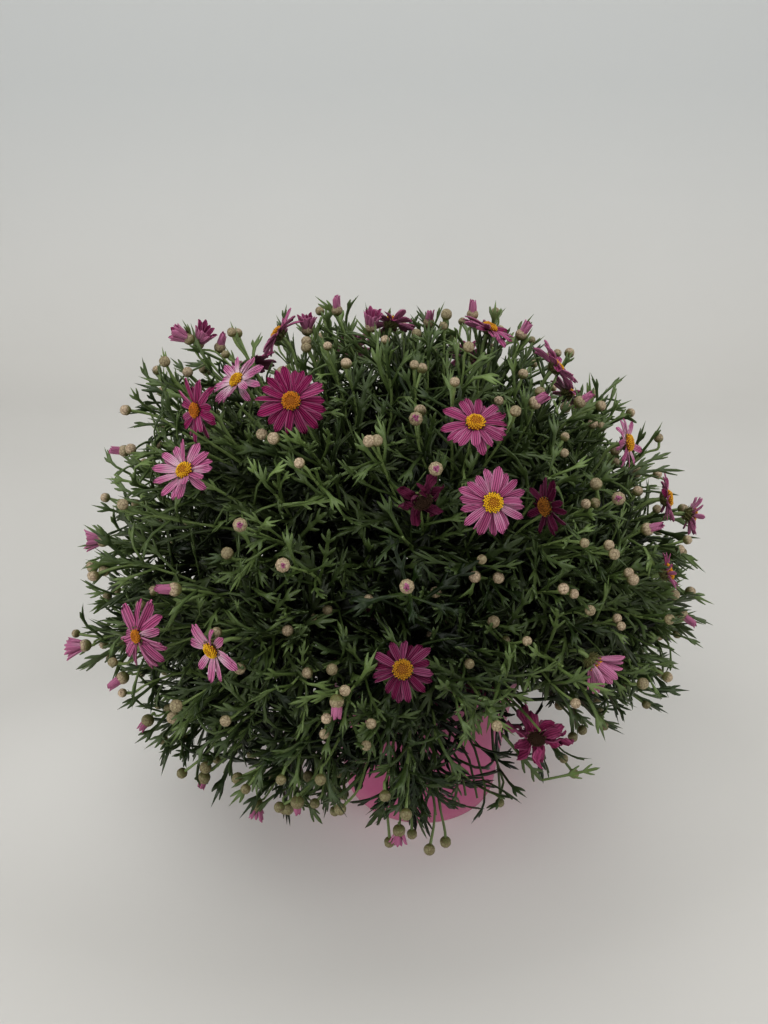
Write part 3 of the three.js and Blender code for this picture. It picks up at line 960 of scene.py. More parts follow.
# Leafy tips given in mm: the sprays that hang before the pot, then those at the lower right
HANGING_TIPS = [
    (-56, -150, 132), (-46, -156, 122), (-34, -160, 112), (-64, -146, 108), (-24, -162, 100),
    (-46, -146, 146), (-8, -164, 92), (10, -164, 86), (30, -158, 96), (46, -150, 98), (2, -166, 116),
    (-78, -146, 120), (62, -140, 94), (40, -150, 86), (6, -165, 82), (-22, -165, 86), (-58, -150, 104),
    (172, -80, 141), (150, -110, 158), (188, -45, 142), (160, -98, 178),
]
LEAFY_TIPS = np.array(
    [seen_at(*spot) for spot in SHOULDER_SEEN] + [seen_at_edge(*spot) for spot in EDGE_SEEN] + HANGING_TIPS
)
print(len(OPENING), "opening buds and", len(LEAFY_TIPS), "leafy tips are placed one by one")

# %% Main shoots and side shoots
# Even directions tried, the least spacing of tips in mm, and how far out they are as shares of the outline
EVEN_DIRECTIONS = 660
TIP_SPACING = 23
SIDE_REACH = (0.89, 1.03)
STRAY_ROUND, STRAY_UP = 0.05, 0.04
# The bush is cut level at the top and kept within the frame at front and back
HIGHEST_TIP = 426
DEEPEST_TIP = 212
# Shoots below level are shorter, those at the top a little longer, and the right side a little slimmer
LOW_SHORTER = 0.5
TOP_FULLER = 0.05
RIGHT_SHORTER = 0.035
# A dip in the front, where the leaves stand back in their own shade: its middle, size and depth
HOLLOW = np.array([-30, -202, 306])
HOLLOW_RADII = np.array([100, 60, 50])
HOLLOW_DEPTH = 0.48
BARE_SECTOR = math.radians(56)
BARE_BELOW = math.radians(15)
CAD_BUD_RADIUS = 4.5
# A direction nearer to level than this is never cut by a height or a depth
LEAST_SLOPE = 0.3


def frame_tip(node):
    """The middle of the bud at the end of one of the frame's bud shoots, in mm."""
    points = np.array([vert.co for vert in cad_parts[node].data.vertices]) / MM
    ways = points - CROWN
    far = ways[np.argmax(np.linalg.norm(ways, axis=1))]
    return CROWN + far * (1 - CAD_BUD_RADIUS / np.linalg.norm(far))


MAIN = [f"flower_shoot_{number:02d}" for number in range(1, 20)]
MAIN += [f"bud_shoot_{number:02d}" for number in range(1, 20)]
main_tips = np.concatenate([heads[: len(FLOWERS)], [frame_tip(node) for node in MAIN[len(FLOWERS) :]]])
main_aims = [aim(tip) for tip in main_tips]

turns = np.arange(EVEN_DIRECTIONS)
rise = np.arcsin(1 - 2 * (turns + 0.5) / EVEN_DIRECTIONS)
azimuth = np.arctan2(np.sin(turns * GOLDEN_ANGLE), np.cos(turns * GOLDEN_ANGLE))
bare = (azimuth > 0) & (azimuth < BARE_SECTOR) & (rise < BARE_BELOW)
grown = (rise > LOWEST_RISE) & ~bare
azimuth, rise = azimuth[grown], rise[grown]
azimuth = azimuth + chance.uniform(-STRAY_ROUND, STRAY_ROUND, len(azimuth))
rise = rise + chance.uniform(-STRAY_UP, STRAY_UP, len(rise))
reach = outline_reach(azimuth, rise) * chance.uniform(*SIDE_REACH, len(rise))
reach *= 1 - LOW_SHORTER * np.maximum(0, -rise)
upward = np.maximum(0, np.sin(rise))
rightward = np.maximum(0, np.sin(azimuth) * np.cos(rise))
reach *= 1 + TOP_FULLER * upward - RIGHT_SHORTER * rightward
from_hollow = (CROWN + direction(azimuth, rise) * reach[:, None] - HOLLOW) / HOLLOW_RADII
reach *= 1 - HOLLOW_DEPTH * np.exp(-(from_hollow**2).sum(1))
reach = np.minimum(reach, (HIGHEST_TIP - CROWN[2]) / np.maximum(LEAST_SLOPE, np.sin(rise)))
forward = np.abs(direction(azimuth, rise)[:, 1])
reach = np.minimum(reach, DEEPEST_TIP / np.maximum(LEAST_SLOPE, forward))
filled = CROWN + direction(azimuth, rise) * reach[:, None]
more_tips = heads[len(FLOWERS) :]
taken = np.concatenate([main_tips, more_tips, opening_tips, LEAFY_TIPS])
free = np.linalg.norm(filled[:, None] - taken, axis=2).min(1) > TIP_SPACING
side_tips = np.concatenate([more_tips, opening_tips, LEAFY_TIPS, filled[free]])
print(len(main_tips), "main shoots and", len(side_tips), "side shoots")

# %% [markdown]
# Paths of the shoots
#
# A side shoot belongs to the main shoot whose direction is nearest to its own. It starts on that shoot at
# the fork and turns away to its own tip, so that the two stems part at a narrow angle as they do on the
# plant. The wider the two directions part, the earlier the fork.

# %% Shoot paths
# Shares of a shoot's length: how much the turn takes, where the leaves end, and where the fork can be
TURN_AWAY = 0.45
LEAFY_TO = 0.93
EARLIEST_FORK = 0.28
LATEST_FORK = 0.6
FORK_BY_ANGLE = 0.7
HEADING_STEP = 0.01


class Shoot:
    """A shoot on its main shoot. The main shoot is its own host, with its fork at the crown."""

    def __init__(self, tip, host, fork):
        self.tip, self.host, self.fork = np.asarray(tip, float), host, fork
        self.own, self.along = aim(tip), main_aims[host]

    def at(self, share):
        """The place at a share of the shoot's length."""
        share = np.asarray(share, float)
        away = np.clip((share - self.fork) / TURN_AWAY, 0, 1)
        away = away * away * (3 - 2 * away)
        start = on_shoot(self.along, share)
        return start + (on_shoot(self.own, share) - start) * away[..., None]

    def heading(self, share):
        """The direction in which the shoot grows there."""
        share = np.asarray(share, float)
        return unit(self.at(share + HEADING_STEP) - self.at(share - HEADING_STEP))


shoots = [Shoot(tip, host, 0) for host, tip in enumerate(main_tips)]
main_ways, side_ways = unit(main_tips - CROWN), unit(side_tips - CROWN)
for tip, way in zip(side_tips, side_ways):
    cosines = main_ways @ way
    host = int(np.argmax(cosines))
    fork = LATEST_FORK - FORK_BY_ANGLE * math.acos(min(1, cosines[host]))
    shoots.append(Shoot(tip, host, float(np.clip(fork, EARLIEST_FORK, LATEST_FORK))))
forks = [shoot.fork for shoot in shoots[len(main_tips) :]]
print("side shoots fork off at", round(min(forks), 2), "to", round(max(forks), 2), "of their length")

# %% [markdown]
# Leaves on the shoots
#
# Leaves stand round a shoot by the golden angle, large and wide apart below, small and tight at the tip.
# Each is bent along an arc, swayed to a side, folded a little along its midrib and rolled, so that no two
# catch the light alike. A leaf that would hide a daisy, grow through the pot or close one of the gaps
# through which the pot shows is left off. Leaves deep in the front or low on the bush are darkened as
# painted shade.

# %% Bend copies of a template
LEAST_ARCH = 0.05


def bent(template, size, place, ahead, up, arch, fold=0, slim=1, sway=0):
    """The template's points for each copy, bent upwards along an arc and swayed to a side.

    arch is the angle of the arc in radians, fold lifts the two halves, slim narrows, sway leans the tip.
    """
    length = template.points[:, 1].max() * np.reshape(size, (-1, 1))
    x, y, z = (template.points[None] * np.reshape(size, (-1, 1, 1))).transpose(2, 0, 1)
    arch = np.where(abs(arch) < LEAST_ARCH, LEAST_ARCH, arch)[:, None]
    turned = arch * y / length
    radius = length / arch
    height = z + np.reshape(fold, (-1, 1)) * abs(x)
    along = radius * np.sin(turned) - height * np.sin(turned)
    lifted = radius * (1 - np.cos(turned)) + height * np.cos(turned)
    side = np.cross(ahead, up)
    across = x * np.reshape(slim, (-1, 1)) + np.reshape(sway, (-1, 1)) * y**2 / length
    return (
        place[:, None] + side[:, None] * across[..., None]
        + ahead[:, None] * along[..., None] + up[:, None] * lifted[..., None]
    )


# %% What a leaf must keep clear of
# A daisy is kept clear this far ahead in mm, over these shares of its width along its axis and to the viewer
CLEAR_DEPTH = 95
CLEAR_AHEAD, CLEAR_TO_VIEWER = 0.95, 0.8
BEHIND_HEAD = -3
OPENING_BUD_REACH = 7
# The pot with a little room round it, then the part of it that can show, in mm
POT_ROOM_RADIUS, POT_ROOM_TOP, FLOOR_ROOM = 92, 141, 3
SEEN_RADIUS, SEEN_TOP, SEEN_BOTTOM = 84, 118, -60
# Gaps in the leaves through which the pot or the floor shows, as the viewer sees them: each is the middle
# and the half size, across and up in mm, of an ellipse that stands on the pot's axis
GAPS = [((-44, -26), (19, 21)), ((36, 32), (13, 17)), ((52, -32), (12, 18)), ((104, 76), (30, 17))]
# No leaf shows against the floor nearer to the viewer than this Y, in mm
LOWEST_SEEN = -82

faces = np.array([direction(*np.radians(flower["faces"])) for flower in every_flower])
reaches = np.array([flower["across"] / 2 for flower in every_flower])
opening_faces = np.array([direction(*np.radians(facing)) for _, facing, _ in OPENING])
guarded = np.concatenate([heads, opening_tips])
guarded_faces = np.concatenate([faces, opening_faces])
guarded_reaches = np.concatenate([reaches, np.full(len(OPENING), OPENING_BUD_REACH)])


def hides_a_flower(points):
    """True for each point that lies in front of a daisy, along its axis or on the way to the viewer."""
    offset = points[:, None] - guarded
    hidden = np.zeros(len(points), bool)
    for ways, width in ((guarded_faces, CLEAR_AHEAD), (unit(VIEWED_FROM - guarded), CLEAR_TO_VIEWER)):
        depth = (offset * ways).sum(-1)
        beside = np.linalg.norm(offset - depth[..., None] * ways, axis=-1)
        before = (depth > BEHIND_HEAD) & (depth < CLEAR_DEPTH)
        hidden |= (before & (beside < guarded_reaches * width)).any(1)
    return hidden


def in_the_pot(points):
    """True for each point inside the pot's outside or under the floor."""
    within = np.hypot(points[:, 0], points[:, 1]) < POT_ROOM_RADIUS
    return within & (points[:, 2] < POT_ROOM_TOP) | (points[:, 2] < FLOOR_ROOM)


def before_the_pot(points):
    """True for each point that the viewer sees against the pot, and for each that lies in a gap."""
    way = points - VIEWED_FROM
    nearest = -(VIEWED_FROM[:2] * way[:, :2]).sum(1) / (way[:, :2] ** 2).sum(1)
    passes = VIEWED_FROM + way * nearest[:, None]
    within = np.hypot(passes[:, 0], passes[:, 1]) < SEEN_RADIUS
    seen = within & (passes[:, 2] < SEEN_TOP) & (passes[:, 2] > SEEN_BOTTOM)
    in_gap = [(((passes[:, ::2] - place) / half) ** 2).sum(1) < 1 for place, half in GAPS]
    return seen, np.any(in_gap, axis=0)


def below_the_pot(points):
    """True for each point that the viewer sees against the floor nearer than the pot's foot."""
    way = points - VIEWED_FROM
    hits = VIEWED_FROM[1] - way[:, 1] / way[:, 2] * VIEWED_FROM[2]
    return (way[:, 2] < 0) & (hits < LOWEST_SEEN)


print(len(guarded), "daisies and opening buds are kept clear of leaves")

# %% Leaves of every shoot
LEAVES_PER_SHOOT = 16
# The leafy stretch as a share of the shoot's length, and how far it keeps from the fork and from a main tip
LEAFY_RUN = 0.52
FORK_GAP, MAIN_TIP_GAP = 0.04, 0.08
# Leaves crowd towards the tip, stand out from the stem at this many degrees and roll by chance
CROWDING = 0.8
OPENING_AT_TIP, OPENS_WITH_AGE, OPENING_STRAY = 27, 46, 17
ROLL_STRAY = 0.5
# Length in mm of a leaf at the tip, what age adds to it, and how much it varies
TIP_LEAF, AGE_ADDS, LENGTH_VARIES = 34, 27, (0.8, 1.15)
YOUNG_UNTIL, BROAD_FROM, BROAD_UNTIL = 0.2, 0.6, 0.85
# Few shoots by the pot are quite bare, and the lowest ones keep only a share of their leaves
BARE_SHOOTS_BY_POT = 0.1
LOW_TIPS_BELOW = 150
AIRY_SHARE = 0.7
# Tone is 0 for the darkest green: what painted shade takes from it, its middle, its spread between
# shoots and leaves
LOW_BUDS_BELOW = 190
SHADED_TONE, LOW_SHADE_TONE = 0.6, 0.3
MIDDLE_TONE, SHOOT_SPREAD, LEAF_SPREAD, LIGHTEST_TONE = 0.5, 0.16, 0.14, 0.85
ARCH, ARCH_STRAY, SWAY_STRAY = -0.25, 1.0, 0.22
FOLDS, SLIMS = (-0.1, 0.4), (0.85, 1.1)


def ring_frame(way):
    """Two directions square to a direction and to each other."""
    across = unit(np.cross(way, np.array([0.1, 0.0, 1.0])))
    return across, np.cross(across, way)


def leaf_out(shoot, low, high, count):
    """One shoot's leaves: the place, ahead and up of each, and its age from 0 at the tip to 1 below."""
    step = np.arange(count)
    share = low + (high - low) * (step / (count - 1)) ** CROWDING
    place, way = shoot.at(share), shoot.heading(share)
    across, over = ring_frame(way)
    turn = (step * GOLDEN_ANGLE + chance.uniform(0, 2 * math.pi))[:, None]
    outward = across * np.cos(turn) + over * np.sin(turn)
    age = (high - share) / (high - low)
    stray = chance.normal(0, OPENING_STRAY, count)
    opening = np.radians(OPENING_AT_TIP + OPENS_WITH_AGE * age + stray)[:, None]
    ahead = way * np.cos(opening) + outward * np.sin(opening)
    up = way * np.sin(opening) - outward * np.cos(opening)
    up = rolled(ahead, up, chance.normal(0, ROLL_STRAY, count)[:, None])
    return place, ahead, up, age


piles = [Pile() for _ in MAIN]
leaf_count = 0
for shoot in shoots:
    is_main = shoot.fork == 0
    low = max(LEAFY_TO - LEAFY_RUN, shoot.fork + FORK_GAP)
    high = LEAFY_TO - MAIN_TIP_GAP if is_main else LEAFY_TO
    place, ahead, up, age = leaf_out(shoot, low, high, LEAVES_PER_SHOOT)
    length = (TIP_LEAF + AGE_ADDS * np.minimum(1, age * 2)) * chance.uniform(*LENGTH_VARIES, len(age))
    # Each leaf is checked near its foot, past its middle and at its tip
    checks = [place + ahead * (length * part)[:, None] for part in (0.25, 0.6, 1)]
    kept = ~np.any([hides_a_flower(points) | in_the_pot(points) for points in checks], axis=0)
    seen, in_gap = before_the_pot(checks[1])
    in_gap |= before_the_pot(checks[2])[1]
    if chance.random() < BARE_SHOOTS_BY_POT:
        kept &= ~seen
    kept &= ~(below_the_pot(checks[2]) | in_gap)
    if shoot.tip[2] < LOW_TIPS_BELOW:
        kept &= chance.random(len(age)) < AIRY_SHARE
    middling = (age < BROAD_FROM) | (age > BROAD_UNTIL)
    kind = np.where(age < YOUNG_UNTIL, "young", np.where(middling, "middle", "broad"))
    # Painted shade: shoots that end near the front dip or low down get darker leaves
    shaded = SHADED_TONE * math.exp(-(((shoot.tip - HOLLOW) / HOLLOW_RADII) ** 2).sum())
    shaded += LOW_SHADE_TONE * (shoot.tip[2] < LOW_BUDS_BELOW)
    tone = chance.normal(MIDDLE_TONE, SHOOT_SPREAD) - shaded + chance.normal(0, LEAF_SPREAD, len(age))
    tone = np.clip(tone, 0, LIGHTEST_TONE)
    arch = chance.normal(ARCH, ARCH_STRAY, len(age))
    sway = chance.normal(0, SWAY_STRAY, len(age))
    fold = chance.uniform(*FOLDS, len(age))
    slim = chance.uniform(*SLIMS, len(age))
    for name, leaf in LEAVES.items():
        chosen = kept & (kind == name)
        if chosen.any():
            size = length[chosen] / LEAF_LENGTH[name]
            points = bent(
                leaf, size, place[chosen], ahead[chosen], up[chosen], arch[chosen],
                fold[chosen], slim[chosen], sway[chosen],
            )
            piles[shoot.host].add(leaf, points, tone=tone[chosen], age=age[chosen])
            leaf_count += chosen.sum()
print(leaf_count, "leaves on the shoots")

# %% [markdown]
# Two low leaves
#
# Two leaves hang clear of the bush at its lower right, where the rule above would set none. They are the
# same template, each laid from its own foot to its own tip, and they go on the shoot that ends beside them.

# %% Low leaves
# Each by its foot, its tip and its tone
LOW_LEAVES = [((53, -150, 164), (88, -150, 117), 0.3), ((84, -150, 122), (127, -150, 133), 0.6)]
LOW_LEAF_HOST = MAIN.index("bud_shoot_06")
LOW_LEAF_FACES = [0.1, -1, 0.7]
LOW_LEAF_ARCH = -0.2
for foot, tip, tone in LOW_LEAVES:
    foot, span = np.array([foot], float), np.array([tip], float) - np.array([foot], float)
    up = unit(np.cross(np.cross(span, LOW_LEAF_FACES), span))
    size = np.linalg.norm(span, axis=1) / LEAF_LENGTH["middle"]
    points = bent(LEAVES["middle"], size, foot, unit(span), up, np.array([LOW_LEAF_ARCH]))
    piles[LOW_LEAF_HOST].add(LEAVES["middle"], points, tone=[tone], age=[0])
print(leaf_count + len(LOW_LEAVES), "leaves")

# %% [markdown]
# The leaf's skin
#
# A marguerite leaf is fleshy, dull green above and a little greyer and paler below, with a paler narrow
# foot. Its skin has a thin coat of wax, with an IOR of about 1.42, which gives a weak broad gleam and no
# shine. The colour is mixed from four greens by the numbers that each leaf brought along: its tone, mottled
# by a noise as wide as a finger, then its foot and its underside. Older leaves stand deeper in the bush,
# where less light reaches them than the lamps give here, so they are dimmed by age.

# %% Leaf finish
GREEN_DARK = "#1a2c0a"
GREEN_MID = "#7a8e54"
GREEN_UNDER = "#566546"
GREEN_FOOT = "#627540"
UNDER_GREEN_SHARE = 0.45
FOOT_SHARE, FOOT_UNTIL = 0.7, 0.35
# How much light the oldest leaves lose, and the ages between which that comes on
INNER_SHADE = 0.94
DIMS_FROM, DIMS_TO = 0.1, 0.8
MOTTLE = 4 * MM
MOTTLE_SHARE = 0.5
# The net of veins is finer than this and is drawn coarser, so that it shows at all
VEIN = 0.8 * MM
VEIN_HEIGHT = 0.3 * MM
LEAF_GLEAM = {"To Min": 0.26, "To Max": 0.46}
LEAF_IOR = 1.42

leaf_skin, add, shader, place = new_material("marguerite_leaf")
tone = add("Attribute", attribute_name="tone")
under = add("Attribute", attribute_name="under")
along = add("Attribute", attribute_name="along")
mottle = add("TexNoise", {"Vector": place, "Scale": 1 / MOTTLE, "Detail": 4.0})
shift = add("Math", {
    0: mottle.outputs["Fac"], 1: MOTTLE_SHARE, 2: tone.outputs["Fac"],
}, operation="MULTIPLY_ADD")
level = add("Math", {0: shift.outputs[0], 1: MOTTLE_SHARE / 2}, operation="SUBTRACT", use_clamp=True)
above = add("Mix", {SHARE: level.outputs[0], FIRST: GREEN_DARK, SECOND: GREEN_MID}, data_type="RGBA")
foot = add("MapRange", {
    "Value": along.outputs["Fac"], "From Max": FOOT_UNTIL, "To Min": FOOT_SHARE, "To Max": 0.0,
})
footed = add("Mix", {
    SHARE: foot.outputs[0], FIRST: above.outputs[MIXED], SECOND: GREEN_FOOT,
}, data_type="RGBA")
below = add("Math", {0: under.outputs["Fac"], 1: UNDER_GREEN_SHARE}, operation="MULTIPLY")
colour = add("Mix", {
    SHARE: below.outputs[0], FIRST: footed.outputs[MIXED], SECOND: GREEN_UNDER,
}, data_type="RGBA")
veins = add("TexNoise", {"Vector": place, "Scale": 1 / VEIN, "Detail": 2.0})
bumps = add("Bump", {"Height": veins.outputs["Fac"], "Strength": 0.25, "Distance": VEIN_HEIGHT})
age = add("Attribute", attribute_name="age")
dim = add("MapRange", {
    "Value": age.outputs["Fac"], "From Min": DIMS_FROM, "From Max": DIMS_TO,
    "To Min": 1.0, "To Max": 1 - INNER_SHADE,
})
dimmed = add("VectorMath", {0: colour.outputs[MIXED], "Scale": dim.outputs[0]}, operation="SCALE")
gleam = add("MapRange", {"Value": mottle.outputs["Fac"], **LEAF_GLEAM})
set_inputs(shader, {
    "Base Color": dimmed.outputs[0], "Roughness": gleam.outputs[0], "Normal": bumps.outputs[0],
    "IOR": LEAF_IOR,
})
foliage = [pile.make(f"{name}_leaves", leaf_skin) for name, pile in zip(MAIN, piles)]
print("leaves:", len(foliage), "pieces,", sum(len(piece.data.polygons) for piece in foliage), "faces")

# %% [markdown]
# Stems and stalks
#
# A stem is a round rod that tapers. It could be a cylinder pulled out in edit mode, but drawn as a curve
# with a round bevel and a radius at each point it bends smoothly, and it is then turned into a mesh. One
# curve object holds all the stems of a main shoot. Most shoots end in one or two thin stalks, bare for a
# few centimetres, which carry a daisy or buds. A bud that would hide a daisy or touch the pot is left off.

# %% Rods and buds
STEM_POINTS = 9
STALK_POINTS = 7
STEM_FOOT_RADIUS = 1.9
STEM_TIP_RADIUS = 0.9
STALK_RADIUS = 0.75
# How far a stalk runs straight at its two ends, in mm, for a bud and for a daisy
STALK_HANDLE = 14
HOOK = 16
# The part of its handle that a bud's stalk keeps at the bud
UPPER_HANDLE = 0.7
# A bud's middle is this share of its radius past the end of its stalk
BUD_SEAT = 0.8


def draw_rods(name, rods, material):
    """One mesh from rods, each given by its points and by its radius at each of them, in mm."""
    curve = bpy.data.curves.new(name, "CURVE")
    curve.dimensions = "3D"
    curve.bevel_depth = MM
    curve.bevel_resolution = 1
    curve.use_fill_caps = True
    for points, radii in rods:
        spline = curve.splines.new("POLY")
        spline.points.add(len(points) - 1)
        spline.points.foreach_set("co", np.column_stack([points * MM, np.ones(len(points))]).ravel())
        spline.points.foreach_set("radius", np.asarray(radii, float))
    curve.materials.append(material)
    rod = bpy.data.objects.new(name, curve)
    bpy.context.collection.objects.link(rod)
    select_only(rod)
    bpy.ops.object.convert(target="MESH")
    bpy.ops.object.shade_smooth()
    return bpy.context.object


class Bud:
    """A bud at the end of its stalk: its middle, the way it points and the shoot that it grew on."""

    def __init__(self, shoot, start, end, points_to, stage=0.0):
        arrives = points_to * STALK_HANDLE * UPPER_HANDLE
        sets_off = shoot.heading(LEAFY_TO) * STALK_HANDLE
        self.stalk = curve_points(start, sets_off, arrives, end, STALK_POINTS)
        self.middle = end + points_to * BUD_RADIUS * BUD_SEAT
        self.points_to, self.host, self.stage = points_to, shoot.host, stage


# %% [markdown]
# Stems, stalks and buds of every shoot
#
# Each shoot draws its stem from the wood or from its fork to the last leaf. Then comes what it carries: a
# daisy's stalk, which hooks over to meet the back of the head and swells there, or the stalk of an opening
# bud, or a closed bud by chance, and sometimes a second one lower down. Low buds droop, high ones stand up.

# %% Stems, stalks and buds
MAIN_STEM_TO = 0.85
SIDE_STEM_SHARE = 0.75
NECK_SWELLING = 2.2
# The stalk ends this far behind the middle of a daisy's head, in mm
CUP_SEAT = 3
BUD_CHANCE = 0.7
SECOND_BUD_CHANCE = 0.3
# How much a bud's stalk strays, how much it rises above level shoots or sags below them, and what a second
# bud's is: its length in mm and how far below the first it starts, as a share of the shoot
STALK_STRAY, SECOND_STRAY = 0.3, 0.4
RISES, SAGS = 0.25, -0.6
SECOND_LENGTH, SECOND_BELOW = (12, 22), 0.04
# The share of an opening bud's length that shows beyond the end of its stalk
BRUSH_SHARE = 0.7

rods = [[] for _ in MAIN]
buds = []
for place_in_list, shoot in enumerate(shoots):
    is_main = shoot.fork == 0
    first = WOOD_REACH / shoot.along[2] if is_main else shoot.fork
    last = MAIN_STEM_TO if is_main else LEAFY_TO
    share = np.linspace(first, last, STEM_POINTS)
    wide = STEM_FOOT_RADIUS if is_main else STEM_FOOT_RADIUS * SIDE_STEM_SHARE
    rods[shoot.host].append((shoot.at(share), np.linspace(wide, STEM_TIP_RADIUS, STEM_POINTS)))
    start = shoot.at(last)
    heading = shoot.heading(last)
    more = place_in_list - len(main_tips)
    if is_main and place_in_list < len(FLOWERS) or 0 <= more < len(MORE_FLOWERS):
        flower = place_in_list if is_main else len(FLOWERS) + more
        facing = faces[flower]
        seat = heads[flower] - facing * CUP_SEAT
        stalk = curve_points(start, heading * HOOK, facing * HOOK, seat, STEM_POINTS)
        neck = STALK_RADIUS * NECK_SWELLING
        rods[shoot.host].append((stalk, np.linspace(STEM_TIP_RADIUS, neck, STEM_POINTS)))
        continue
    opening = more - len(MORE_FLOWERS)
    if 0 <= opening < len(OPENING):
        tip, facing, length = OPENING[opening]
        facing = direction(*np.radians(facing))
        buds.append(Bud(shoot, start, shoot.tip - facing * length * BRUSH_SHARE, facing, length))
    elif is_main or (opening >= len(OPENING) + len(LEAFY_TIPS) and chance.random() < BUD_CHANCE):
        lean = RISES if shoot.tip[2] > LOW_BUDS_BELOW else SAGS
        stray = unit(heading + chance.normal(0, STALK_STRAY, 3) + [0, 0, lean])
        buds.append(Bud(shoot, start, shoot.tip, stray))
    if chance.random() < SECOND_BUD_CHANCE:
        stray = unit(heading + chance.normal(0, SECOND_STRAY, 3))
        end = start + stray * chance.uniform(*SECOND_LENGTH)
        buds.append(Bud(shoot, shoot.at(last - SECOND_BELOW), end, stray))
ends = np.array([bud.middle for bud in buds])
hidden = hides_a_flower(ends) | in_the_pot(ends)
buds = [bud for bud, gone in zip(buds, hidden) if bud.stage or not gone]

# Buds that hang in front of the pot on long stalks, each from the shoot that passes nearest above it
HANGING = np.array([(-29, -165, 80), (-12, -158, 81), (14, -150, 65), (-70, -150, 96), (56, -135, 90)], float)
HANGS_FROM = np.array([0, 12, 48])
HANGS_DOWN = np.array([0, -0.2, -0.98])
HANGING_SHARES = np.linspace(0.55, 0.9, 8)
for end in HANGING:
    gaps = [np.linalg.norm(shoot.at(HANGING_SHARES) - (end + HANGS_FROM), axis=1) for shoot in shoots]
    nearest, at = np.unravel_index(np.argmin(gaps), (len(shoots), len(HANGING_SHARES)))
    shoot = shoots[nearest]
    buds.append(Bud(shoot, shoot.at(HANGING_SHARES[at]), end, HANGS_DOWN))
for bud in buds:
    rods[bud.host].append((bud.stalk, np.linspace(STALK_RADIUS, STALK_RADIUS * 1.5, STALK_POINTS)))
print(len(buds), "buds,", sum(bud.stage > 0 for bud in buds), "of them opening")

# %% [markdown]
# Green stem
#
# Young stems are soft, ribbed and light green, and turn brown and corky towards the trunk. The change is
# read from how far a point is from the knuckle, and so is the shade deep in the bush. Fresh green skin is
# half matt: its roughness is 0.55. The ribs are too fine to model, so a noise of their width is a bump.

# %% Stem finish
STEM_GREEN = "#5d6f3f"
STEM_LIGHT = "#82935a"
STEM_SHADE = "#2c3a1d"
STEM_BROWN = "#5d4a33"
BROWN_TO, GREEN_FROM = 60 * MM, 130 * MM
SHADED_TO, LIGHT_FROM = 115 * MM, 200 * MM
RIB = 1.2 * MM
RIB_HEIGHT = 0.4 * MM
STEM_ROUGHNESS = 0.55

stem_skin, add, shader, place = new_material("green_stem")
blotch = add("TexNoise", {"Vector": place, "Scale": 1 / MOTTLE, "Detail": 3.0})
greens = add("Mix", {SHARE: blotch.outputs["Fac"], FIRST: STEM_GREEN, SECOND: STEM_LIGHT}, data_type="RGBA")
reach = add("VectorMath", {0: place, 1: tuple(CROWN * MM)}, operation="DISTANCE")
lit = add("MapRange", {"Value": reach.outputs["Value"], "From Min": SHADED_TO, "From Max": LIGHT_FROM})
greens = add("Mix", {
    SHARE: lit.outputs[0], FIRST: STEM_SHADE, SECOND: greens.outputs[MIXED],
}, data_type="RGBA")
woody = add("MapRange", {
    "Value": reach.outputs["Value"], "From Min": BROWN_TO, "From Max": GREEN_FROM,
    "To Min": 1.0, "To Max": 0.0,
})
colour = add("Mix", {
    SHARE: woody.outputs[0], FIRST: greens.outputs[MIXED], SECOND: STEM_BROWN,
}, data_type="RGBA")
ribs = add("TexNoise", {"Vector": place, "Scale": 1 / RIB, "Detail": 2.0})
bumps = add("Bump", {"Height": ribs.outputs["Fac"], "Strength": 0.4, "Distance": RIB_HEIGHT})
set_inputs(shader, {
    "Base Color": colour.outputs[MIXED], "Roughness": STEM_ROUGHNESS, "Normal": bumps.outputs[0],
})
stems = [draw_rods(f"{name}_stems", parts, stem_skin) for name, parts in zip(MAIN, rods)]
print("stems:", sum(len(stem.data.polygons) for stem in stems), "faces")

# %% [markdown]
# Corky bark
#
# The trunk's skin is cork: dead, dry and finely cracked, so it is brown in two shades and nearly fully
# rough. One noise as wide as its ridges mixes the browns and raises the bumps.

# %% Bark finish
BARK_DARK = "#3f3124"
BARK_LIGHT = "#7b6a4e"
BARK_RIDGE = 2.5 * MM
BARK_HEIGHT = 1.5 * MM
BARK_ROUGHNESS = 0.85

bark, add, shader, place = new_material("corky_bark")
ridges = add("TexNoise", {"Vector": place, "Scale": 1 / BARK_RIDGE, "Detail": 6.0})
colour = add("Mix", {SHARE: ridges.outputs["Fac"], FIRST: BARK_DARK, SECOND: BARK_LIGHT}, data_type="RGBA")
bumps = add("Bump", {"Height": ridges.outputs["Fac"], "Strength": 0.7, "Distance": BARK_HEIGHT})
set_inputs(shader, {
    "Base Color": colour.outputs[MIXED], "Roughness": BARK_ROUGHNESS, "Normal": bumps.outputs[0],
})
print("bark finish:", len(shader.id_data.nodes), "nodes")

# %% [markdown]
# The woody crown
#
# The oldest part of the plant is its trunk, a knobbly peg that forks into a stub for each main shoot at one
# knuckle. The stubs and the trunk are rods again, and the knuckle is a small sphere whose points are
# pushed in and out by chance. The three are joined, because they are one piece of wood.

# %% Model the woody crown
KNUCKLE_RADIUS = 11
KNUCKLE_DENTS = 0.05
TRUNK_RADIUS = 6
ROOT_TIP = -44
# How thick the trunk is from the tip of the root up to the knuckle, as shares of its radius
TRUNK_SHAPE = np.array([0.15, 0.5, 0.8, 0.95, 1.0, 1.05, 1.1, 1.35, 1.5])
STUB_RADIUS = 2.3
STUB_VARIES = (0.85, 1.2)
STUB_POINTS = 6
STUB_FROM = 0.03

